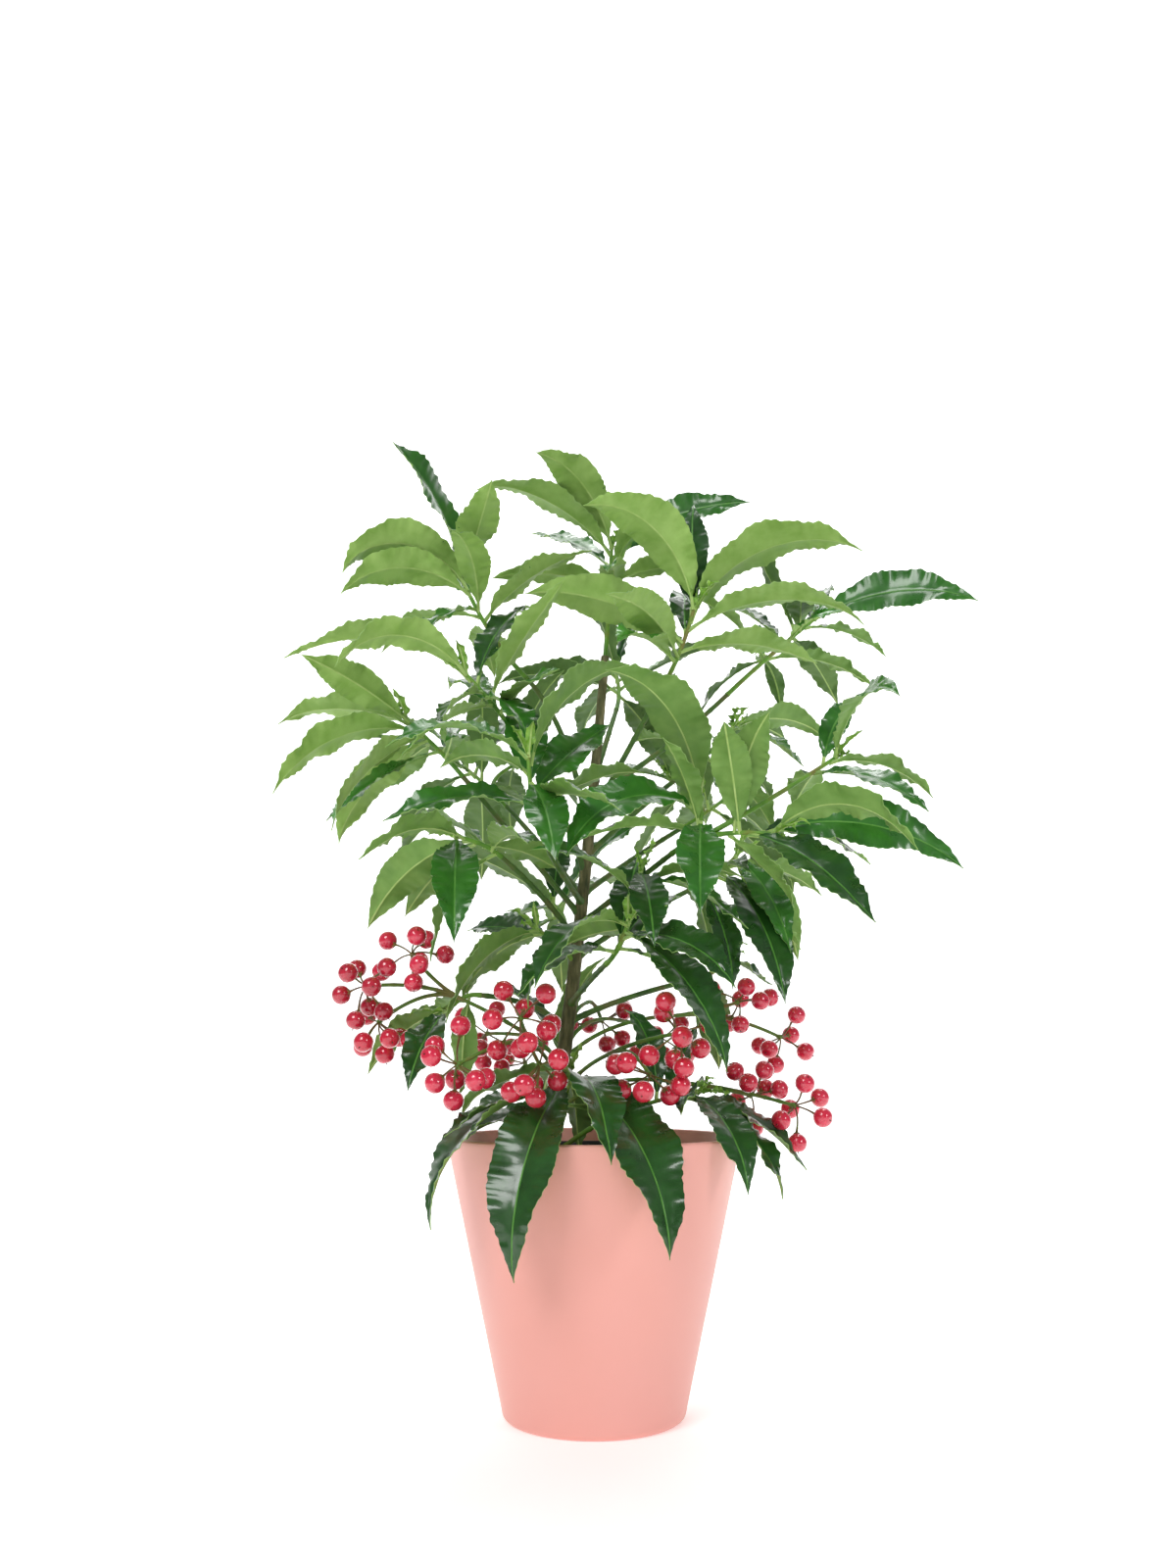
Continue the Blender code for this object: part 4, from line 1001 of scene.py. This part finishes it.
def painted_underside_light(rng, leaf):
    """Painted light on undersides: palest where they stand in the light, at the top and the front, and
    painted shade further back.
    """
    depth = leaf.base.y + rng.uniform(-30, 30)
    if leaf.base.z > PAINTED_LIT_ABOVE and depth < PAINTED_LIT_BEFORE:
        return UNDER_PAINTED_LIGHT[0]
    return UNDER_PAINTED_LIGHT[1] if depth < PAINTED_SHADE_BEHIND else UNDER_PAINTED_LIGHT[2]


def bud_leaf(name, index, way):
    """A small leaf beside the bud at the end of a shoot, nearly upright."""
    rng = random.Random(f"{name} bud {index}")
    points = shoot_path(*way, TWIG_RINGS)
    axis = (points[-1] - points[-2]).normalized()
    across, up = side_axes(axis)
    turn = math.radians(index * GOLDEN_ANGLE + rng.uniform(-BUD_SLACK, BUD_SLACK))
    spread = math.radians(rng.uniform(*BUD_SPREAD))
    outwards = across * math.cos(turn) + up * math.sin(turn)
    chord = axis * math.cos(spread) + outwards * math.sin(spread) + Vector((0, 0, BUD_RISE))
    chord.normalize()
    length = rng.uniform(*BUD_LEAF_LENGTHS)
    return Leaf(
        base=points[-1] - axis * 1.0,
        heading=math.degrees(math.atan2(chord.y, chord.x)),
        rise=math.degrees(math.asin(chord.z)),
        length=length,
        width=length * BUD_HALF_WIDTH,
        arch=rng.uniform(*BUD_ARCH),
        bend=0.0,
        roll=rng.uniform(-BUD_SLACK, BUD_SLACK),
        twist=rng.uniform(-BUD_SLACK, BUD_SLACK),
    )


def grow_leaves(mass):
    """All leaves of a mass as one piece that stands for its solid."""
    gather = Gather()
    carrier, shoots = FOLIAGE[mass]
    for number, index, leaf in leaves_of(mass):
        name = f"{mass} shoot {number} leaf {index}"
        rng = random.Random(name + " shade")
        top = TOP_SHADES[leaf_shade(rng, shoots[number])]
        # The underside finish is painted light or painted shade, from where the leaf stands.
        add_leaf(gather, name, leaf, top, painted_underside_light(rng, leaf))
    for number, way in enumerate(mass_shoots(carrier, shoots)):
        for index in range(BUD_LEAVES):
            name = f"{mass} shoot {number}"
            add_leaf(gather, f"{name} young {index}", bud_leaf(name, index, way), YOUNG, YOUNG)
    return gather.make(mass.replace("leaves", "blades"), LEAF_FINISHES, [mass])


for mass in FOLIAGE:
    grow_leaves(mass)
print(sum(len(leaves_of(mass)) for mass in FOLIAGE), "leaves in", len(FOLIAGE), "masses")

# %% [markdown]
# ## Shoots
# A green shoot runs on from each bough. Old leaves have left rings of scars on it, so its radius
# swells a little at even steps. Its root is sunk in the limb that carries it.

# %% Growing the shoots
SHOOT_ROOT_RADIUS = 1.15
SHOOT_TIP_RADIUS = 0.85
SCAR_SPACING = 6.5
SCAR_HEIGHT = 0.22
SCAR_WIDTH = 0.8
TRUNK_SINK = 6.0
BOUGH_SINK = 2.0
FORK_SINK = 0.5
LIMB_STEP = 1.5


def fine_curve(start, direction, tip, sunk):
    """Points of a shoot's smooth line, from a root sunk in its carrier to its tip."""
    length = (Vector(tip) - start).length
    points = shoot_path(start, direction, tip, max(6, round(length / LIMB_STEP)))
    return [start - direction * sunk] + points


def scarred(points, root, tip, phase):
    """Radii that taper from root to tip and swell at each leaf scar."""
    steps = [(b - a).length for a, b in zip(points, points[1:])]
    run = np.concatenate([[0.0], np.cumsum(steps)])
    taper = root + (tip - root) * run / run[-1]
    off_scar = (run + phase) % SCAR_SPACING
    return taper + SCAR_HEIGHT * np.exp(-(off_scar / SCAR_WIDTH) ** 2)


def sunk_depth(carrier):
    return BOUGH_SINK if isinstance(carrier, str) else TRUNK_SINK


def grow_shoots(mass):
    """The shoots of a mass of leaves as one piece."""
    gather = Gather()
    carrier, shoots = FOLIAGE[mass]
    for number, way in enumerate(mass_shoots(carrier, shoots)):
        depth = sunk_depth(carrier) if number == 0 else FORK_SINK
        points = fine_curve(*way, depth)
        radii = scarred(points, SHOOT_ROOT_RADIUS, SHOOT_TIP_RADIUS, 2.0 * number)
        gather.add(*round_limb(points, radii, 10), 0)
    return gather.make(mass.replace("leaves", "shoots"), [SHOOT_GREEN], [mass])


for mass in FOLIAGE:
    grow_shoots(mass)

# %% [markdown]
# ## Trunk and boughs
# Bark this thin shows faint ridges along the stem, raised rings where leaves once stood, and small
# warts. They are real relief in the mesh, so that they show in the outline too. A bough swells where
# it joins the trunk, and its root is inside the trunk, so no seam shows.

# %% Growing the trunk
TRUNK_SIDES = 28
TRUNK_STEP = 1.2
BARK_RIDGE = 0.16
RIDGE_LENGTHENING = 0.12
COARSE_RIDGES = 1.4
FINE_RIDGES = 3.7
COLLAR = 1.3
COLLAR_LENGTH = 2.6
BOUGH_SIDES = 14
FINE_ROOT_RADIUS = 1.4
FINE_TIP_RADIUS = 1.1


def bark_radii(points, radii, sides, ridge):
    """Radii round each ring, roughened by ridges that run along the limb."""
    angles = np.arange(sides) * (2 * math.pi / sides)
    rough = np.empty((len(points), sides))
    for index, point in enumerate(points):
        for side, angle in enumerate(angles):
            spot = Vector((math.cos(angle) * 2.2, math.sin(angle) * 2.2, point.z * RIDGE_LENGTHENING))
            fine = noise.noise(spot * FINE_RIDGES)
            rough[index, side] = noise.noise(spot * COARSE_RIDGES) + 0.5 * fine
    return np.array(radii)[:, None] + ridge * rough


def grow_trunk():
    count = round((TRUNK_TOP.z - TRUNK_FOOT.z) / TRUNK_STEP)
    heights = [blend(TRUNK_FOOT.z, TRUNK_TOP.z, index / count) for index in range(count + 1)]
    points = [trunk_point(height) for height in heights]
    points[0].z -= 1.0
    radii = [trunk_radius(height) for height in heights]
    taper = scarred(points, 0.0, 0.0, 3.0) * 0.8 + np.array(radii)
    gather = Gather()
    rough = bark_radii(points, taper, TRUNK_SIDES, BARK_RIDGE)
    gather.add(*round_limb(points, rough, TRUNK_SIDES), 0)
    return gather.make("trunk_bark", [TRUNK_BARK], ["trunk"])


def grow_boughs():
    gather = Gather()
    for name in BOUGHS:
        start, control, end = bough_curve(name)
        count = round((end - start).length / LIMB_STEP)
        points = [bezier(start, control, end, index / count) for index in range(count + 1)]
        radii = scarred(points, FINE_ROOT_RADIUS, FINE_TIP_RADIUS, 4.0)
        run = np.array([(point - start).length for point in points])
        radii += COLLAR * np.exp(-run / COLLAR_LENGTH)
        rough = bark_radii(points, radii, BOUGH_SIDES, BARK_RIDGE / 2)
        gather.add(*round_limb(points, rough, BOUGH_SIDES), 0)
    return gather.make("bough_skins", [BOUGH_SKIN], list(BOUGHS))


grow_trunk()
grow_boughs()
print("trunk and", len(BOUGHS), "boughs")

# %% [markdown]
# ## Berries
# The fruit hangs in umbels: a green stalk ends in a small knob, and thin red-brown pedicels fan out
# from it. A berry is a slightly flattened ball with a tiny dark style at its free end and a
# five-lobed calyx where its pedicel joins. All of them are rings round a line, so the same helper
# makes each, and a berry that the solid holds has one of its poles among the solid's corners.

# %% Berry sizes
BERRY_SIDES = 20
BERRY_RINGS = 15
BERRY_FLATTENING = 0.96
DIMPLE = 0.35
STYLE_LENGTH = 0.9
STYLE_RADIUS = 0.3
CALYX_RADIUS = 1.75
CALYX_SIDES = 20
FINE_PEDICEL_RADIUS = 0.42
FINE_PEDUNCLE_RADIUS = 0.85
KNOB_RADIUS = 1.35


def add_berry(gather, centre, way, shade):
    """A berry round a line from its pedicel to its free end, with calyx and style."""
    turns = np.linspace(0.03, math.pi - 0.03, BERRY_RINGS)
    far = np.exp(-((math.pi - turns) / 0.3) ** 2)
    heights = -np.cos(turns) * BERRY_RADIUS * BERRY_FLATTENING - DIMPLE * far
    radii = np.sin(turns) * BERRY_RADIUS
    gather.add(*round_limb([centre + way * height for height in heights], radii, BERRY_SIDES), shade)
    tip = BERRY_RADIUS * BERRY_FLATTENING - DIMPLE
    style = [centre + way * (tip - 0.3), centre + way * (tip + STYLE_LENGTH * 0.5),
             centre + way * (tip + STYLE_LENGTH)]
    gather.add(*round_limb(style, [STYLE_RADIUS, STYLE_RADIUS * 0.8, STYLE_RADIUS * 0.3], 6), STYLE)
    lobes = 0.72 + 0.28 * np.cos(5 * np.arange(CALYX_SIDES) * (2 * math.pi / CALYX_SIDES))
    foot = -BERRY_RADIUS * BERRY_FLATTENING
    calyx = [centre + way * (foot + step) for step in (-0.55, -0.3, 0.25, 0.55)]
    shape = np.array([0.45, 1.0, CALYX_RADIUS, CALYX_RADIUS * 0.6])[:, None]
    gather.add(*round_limb(calyx, shape * np.where(shape > 0.9, lobes, 1.0), CALYX_SIDES), CALYX)


def umbel_shade(rng):
    return rng.choice([0, 0, 1, 1, 2])


def grow_berries(mass):
    """The berries of a mass as one piece, and their stalks as another."""
    carrier, fork_share, umbels = BERRIES[mass]
    tree = corner_tree(mass)
    ways = berry_ways(carrier, fork_share, umbels)
    fruit = Gather()
    stalks = Gather()
    for number, way in enumerate(ways):
        points = fine_curve(*way, TRUNK_SINK if number == 0 else FORK_SINK)
        end = 1.0 if number == 0 else 0.9
        radii = scarred(points, FINE_PEDUNCLE_RADIUS * 1.15, FINE_PEDUNCLE_RADIUS * end, 1.0)
        stalks.add(*round_limb(points, radii, 9), 0)
    for number, (umbel, way) in enumerate(zip(umbels, ways[1:])):
        path = shoot_path(*way, TWIG_RINGS)
        node = path[-1]
        axis = (path[-1] - path[-2]).normalized()
        knob = [node + axis * (KNOB_RADIUS * step) for step in (-1.3, -0.6, 0.0, 0.5, 0.85)]
        stalks.add(*round_limb(knob, [0.8, 1.15, KNOB_RADIUS, 1.0, 0.4], 10), 0)
        shade = umbel_shade(random.Random(f"{mass} umbel {number}"))
        for index in range(umbel.berries):
            centre = found_berry(tree, f"{mass} umbel {number}", umbel, node, axis, index)
            if centre:
                way_out = (centre - node).normalized()
                add_pedicel(stalks, node, axis, centre, way_out)
                add_berry(fruit, centre, way_out, shade)
    fruit.make(mass.replace("berries", "fruit"), BERRY_FINISHES, [mass])
    stalks.make(mass.replace("berries", "stalks"), [PEDUNCLE_SKIN, STALK_SKIN], [mass])
    return len(fruit.corners) // 3


def found_berry(tree, name, umbel, node, axis, index):
    """The centre of a berry that the solid holds, or None where it was left out."""
    pole = Vector((0, 0, BERRY_RADIUS))
    for attempt in range(BERRY_TRIES):
        centre = umbel_berry(name, umbel, node, axis, index, attempt)
        if has_corner(tree, centre + pole) or has_corner(tree, centre - pole):
            return centre
    return None


def add_pedicel(stalks, node, axis, centre, way):
    """A thin stalk that leaves the knob along the stalk's own line and bends out to its berry."""
    end = centre - way * (BERRY_RADIUS * BERRY_FLATTENING)
    length = (end - node).length
    control = node + (way * 0.75 + axis * 0.35 + Vector((0, 0, 0.12))) * (length * 0.5)
    points = [bezier(node, control, end, step / 8) for step in range(9)]
    radii = [FINE_PEDICEL_RADIUS * swell for swell in (1.3, 1, 0.95, 0.95, 0.95, 1, 1.05, 1.25, 1.6)]
    stalks.add(*round_limb(points, radii, 6), 1)


berry_total = sum(grow_berries(mass) for mass in BERRIES)
print(berry_total, "berries,", sum(tally), "triangles so far")

# %% [markdown]
# ## Planter, nursery pot and soil
# The planter is one moulding, turned about its axis: a thin rounded rim, a straight tapering wall, a
# rounded foot and a shallow recess under it. The plant was grown in a dark nursery pot, which
# stands inside. Its rim has small moulded ribs. All are one profile turned in many steps.

# %% Turned shapes
POT_RIM_RADIUS = 65.0
POT_BASE_RADIUS = 38.3
POT_HEIGHT = 115.0
POT_WALL = 2.4
POT_FLOOR = 3.0
POT_BASE_ROUNDING = 3.5
LINER_CLEARANCE = 1.2
LINER_WALL = 1.2
LINER_TOP = 109.0
LINER_LIP = 1.6
LINER_LIP_HEIGHT = 5.0


def pot_radius(height):
    """Outer radius of the planter's straight tapered wall."""
    return blend(POT_BASE_RADIUS, POT_RIM_RADIUS, height / POT_HEIGHT)


def liner_radius(height):
    return pot_radius(height) - POT_WALL - LINER_CLEARANCE


TURN_STEPS = 160


def turned(profile, steps, relief=None):
    """Corners and faces of a closed shape turned from a profile that runs down its outer side."""
    radii = np.array([max(point[0], 0.0) for point in profile])
    heights = np.array([point[1] for point in profile])
    angles = np.arange(steps) * (2 * math.pi / steps)
    swell = np.zeros((len(radii), steps)) if relief is None else relief(radii, heights, angles)
    wide = radii[1:-1, None] + swell[1:-1]
    x = wide * np.cos(angles)
    y = wide * np.sin(angles)
    z = np.broadcast_to(heights[1:-1, None], x.shape)
    corners = np.stack([x, y, z], axis=-1).reshape(-1, 3)
    ends = np.array([[0.0, 0.0, heights[0]], [0.0, 0.0, heights[-1]]])
    corners = np.vstack([corners, ends])
    first = np.arange(steps)
    after = (first + 1) % steps
    last = (len(radii) - 3) * steps
    top = np.stack([np.full(steps, len(corners) - 2), first, after], axis=1)
    bottom = np.stack([first + last, np.full(steps, len(corners) - 1), after + last], axis=1)
    return corners, [ring_faces(len(radii) - 2, steps)[:, ::-1], top, bottom]


def arc(centre, radius, first, last, count):
    """Points of a rounded corner, from one angle to another."""
    angles = [math.radians(blend(first, last, index / (count - 1))) for index in range(count)]
    return [(centre[0] + radius * math.cos(a), centre[1] + radius * math.sin(a)) for a in angles]


# %% Planter
FOOT_RING = 5.0
FOOT_RECESS = 1.0
WALL_END = 112.0
INNER_RINGS = 24
OUTER_RINGS = 28


def make_planter():
    lip = POT_WALL / 2
    rising = np.linspace(POT_FLOOR + 2, WALL_END, INNER_RINGS)
    falling = np.linspace(WALL_END, POT_BASE_ROUNDING + 1, OUTER_RINGS)
    inner = [(pot_radius(height) - POT_WALL, height) for height in rising]
    outer = [(pot_radius(height), height) for height in falling]
    rim = arc((POT_RIM_RADIUS - lip, POT_HEIGHT - lip), lip, 175, 5, 11)
    corner_radius = pot_radius(POT_BASE_ROUNDING) - POT_BASE_ROUNDING
    corner = arc((corner_radius, POT_BASE_ROUNDING), POT_BASE_ROUNDING, -4, -90, 9)
    ring = POT_BASE_RADIUS - POT_BASE_ROUNDING - FOOT_RING
    profile = [(0, POT_FLOOR), (pot_radius(0) - POT_WALL - 2, POT_FLOOR)] + inner + rim + outer
    profile += corner + [(ring, 0), (ring - 1, FOOT_RECESS), (0, FOOT_RECESS)]
    gather = Gather()
    gather.add(*turned(profile, TURN_STEPS), 0)
    return gather.make("planter_shell", [PLANTER_PLASTIC], ["planter"])


make_planter()

# %% Nursery pot
RIB_COUNT = 40
RIB_HEIGHT = 0.35
RIB_TOP_MARGIN = 0.6


def liner_ribs(radii, heights, angles):
    """Shallow ribs on the outer band of the nursery pot's rim."""
    on_band = (heights > LINER_TOP - LINER_LIP_HEIGHT) & (heights < LINER_TOP - RIB_TOP_MARGIN)
    ribs = np.maximum(np.cos(angles * RIB_COUNT), 0.0) * RIB_HEIGHT
    return -np.outer(on_band & (radii > liner_radius(LINER_TOP) - 2), RIB_HEIGHT - ribs)


def make_nursery_pot():
    bottom = POT_FLOOR + GAP
    band = LINER_TOP - LINER_LIP_HEIGHT
    wall = LINER_WALL
    outer = liner_radius(LINER_TOP)
    profile = [(0, bottom + wall), (liner_radius(bottom) - wall - LINER_LIP, bottom + wall)]
    profile += [(liner_radius(height) - wall - LINER_LIP, height) for height in (50.0, 98.0, LINER_TOP - 0.7)]
    profile += [(outer - wall - LINER_LIP + 0.4, LINER_TOP), (outer - 0.4, LINER_TOP)]
    profile += [(outer - 0.05, LINER_TOP - 0.5), (outer - 0.1, LINER_TOP - 0.8)]
    profile += [(liner_radius(band) - 0.1, band + 0.3), (liner_radius(band) - LINER_LIP, band)]
    profile += [(liner_radius(bottom) - LINER_LIP, bottom), (0, bottom)]
    gather = Gather()
    gather.add(*turned(profile, TURN_STEPS, liner_ribs), 0)
    return gather.make("nursery_pot_shell", [NURSERY_PLASTIC], ["nursery_pot"])


make_nursery_pot()

# %% [markdown]
# Potting mix is lumps of peat and bark. Its surface is a turned disc whose corners noise lifts and
# lowers, with loose crumbs of many sizes strewn on it. They are one more gathered piece.

# %% Soil
SOIL_RINGS = 46
SOIL_STEPS = 120
SOIL_LUMPS = 2.2
CRUMBS = 420
CRUMB_SIZES = (0.5, 1.7)
CLEAR_OF_TRUNK = 6.0


def make_soil():
    edge = liner_radius(SOIL_LEVEL) - LINER_WALL - LINER_LIP - GAP
    bottom = POT_FLOOR + 2 * GAP + LINER_WALL
    foot = liner_radius(bottom) - LINER_WALL - LINER_LIP - GAP
    radii = [edge * step / SOIL_RINGS for step in range(SOIL_RINGS + 1)]
    profile = [(radius, SOIL_LEVEL - 0.4) for radius in radii] + [(foot, bottom), (0, bottom)]
    corners, faces = turned(profile, SOIL_STEPS)
    for corner in corners:
        if corner[2] > SOIL_LEVEL - 1:
            spot = Vector(corner)
            lumps = noise.noise(spot / 9) * 0.6 + noise.noise(spot / 3.5) * 0.4
            corner[2] += SOIL_LUMPS * (lumps - 0.35)
    gather = Gather()
    gather.add(corners, faces, 0)
    rng = random.Random("crumbs")
    for _ in range(CRUMBS):
        turn = rng.uniform(0, 2 * math.pi)
        out = (edge - 3) * math.sqrt(rng.random())
        size = rng.uniform(*CRUMB_SIZES)
        middle = Vector((out * math.cos(turn), out * math.sin(turn), SOIL_LEVEL - 0.3))
        if (middle - TRUNK_FOOT).length > CLEAR_OF_TRUNK:
            way = Vector((rng.gauss(0, 1), rng.gauss(0, 1), rng.gauss(0, 0.6))).normalized()
            line = [middle + way * (size * step) for step in (-1.1, -0.7, 0.0, 0.6, 1.0)]
            shape = [[size * share * rng.uniform(0.75, 1.2) for _ in range(7)]
                     for share in (0.3, 0.8, 1.0, 0.75, 0.25)]
            gather.add(*round_limb(line, shape, 7), 1)
    return gather.make("potting_mix_surface", [POTTING_MIX, MIX_CRUMB], ["soil"])


make_soil()
print(sum(tally), "triangles in", len(tally), "pieces, the largest with", max(tally))

# %% [markdown]
# ## Studio
# The photograph has a plain white ground, so the plant stands on a product table: a sheet of white
# acrylic that sweeps up behind it and is lit from below, which leaves almost no shadow. A large soft
# light comes from the front left, and weaker ones from the right, above and low in front. The
# surroundings stay dim, so that glossy leaves keep their deep green, and only the lights draw white
# highlights on leaves and berries.

# %% Lit table
SWEEP_HALF_WIDTH = 4.0
SWEEP_FRONT = -3.0
SWEEP_BACK = 2.4
SWEEP_HEIGHT = 4.0
SWEEP_BEND = 1.0
SWEEP_STEPS = 12
TABLE_GLOW = 0.34


def make_sweep():
    """White acrylic that lies under the planter and rises behind it in one curve."""
    line = [(SWEEP_FRONT, 0.0)]
    for step in range(SWEEP_STEPS + 1):
        angle = math.radians(90 * step / SWEEP_STEPS)
        line.append((SWEEP_BACK - SWEEP_BEND + SWEEP_BEND * math.sin(angle),
                     SWEEP_BEND - SWEEP_BEND * math.cos(angle)))
    line.append((SWEEP_BACK, SWEEP_HEIGHT))
    corners = [(side * SWEEP_HALF_WIDTH, y, z) for y, z in line for side in (-1, 1)]
    faces = [(2 * i, 2 * i + 1, 2 * i + 3, 2 * i + 2) for i in range(len(line) - 1)]
    mesh = bpy.data.meshes.new("lit_table")
    mesh.from_pydata(corners, [], faces)
    mesh.shade_smooth()
    mesh.materials.append(mottled("lit_acrylic", ["#f7f7f6", "#fafafa"], 400, 1.0, 0.02, 0.9,
                                  Emission_Color=linear("#ffffff"), Emission_Strength=TABLE_GLOW))
    sweep = bpy.data.objects.new("lit_table", mesh)
    bpy.context.scene.collection.objects.link(sweep)


make_sweep()

# %% Lights
AIM = Vector((0.0, 0.0, 0.24))


def area_light(name, place, size, power):
    """A square soft light that faces the plant."""
    light = bpy.data.lights.new(name, "AREA")
    light.size = size
    light.energy = power
    lamp = bpy.data.objects.new(name, light)
    lamp.location = place
    lamp.rotation_euler = (AIM - Vector(place)).to_track_quat("-Z", "Y").to_euler()
    lamp.visible_camera = False
    bpy.context.scene.collection.objects.link(lamp)
    return lamp


area_light("key_light", (-0.75, -1.5, 1.45), 0.8, 19.5)
area_light("right_light", (1.35, -1.25, 0.8), 0.4, 6.0)
area_light("top_light", (0.2, 0.3, 1.9), 0.8, 9.0)
area_light("low_light", (-0.2, -1.6, 0.15), 0.9, 1.2)
backdrop_light = area_light("backdrop_light", (0.0, 0.9, 2.6), 2.0, 60.0)
backdrop_light.rotation_euler = (math.radians(60), 0, 0)

world = bpy.data.worlds.new("studio")
world.use_nodes = True
world.node_tree.nodes["Background"].inputs["Color"].default_value = linear("#ffffff")
world.node_tree.nodes["Background"].inputs["Strength"].default_value = 0.2
bpy.context.scene.world = world
bpy.context.scene.view_settings.view_transform = "Standard"
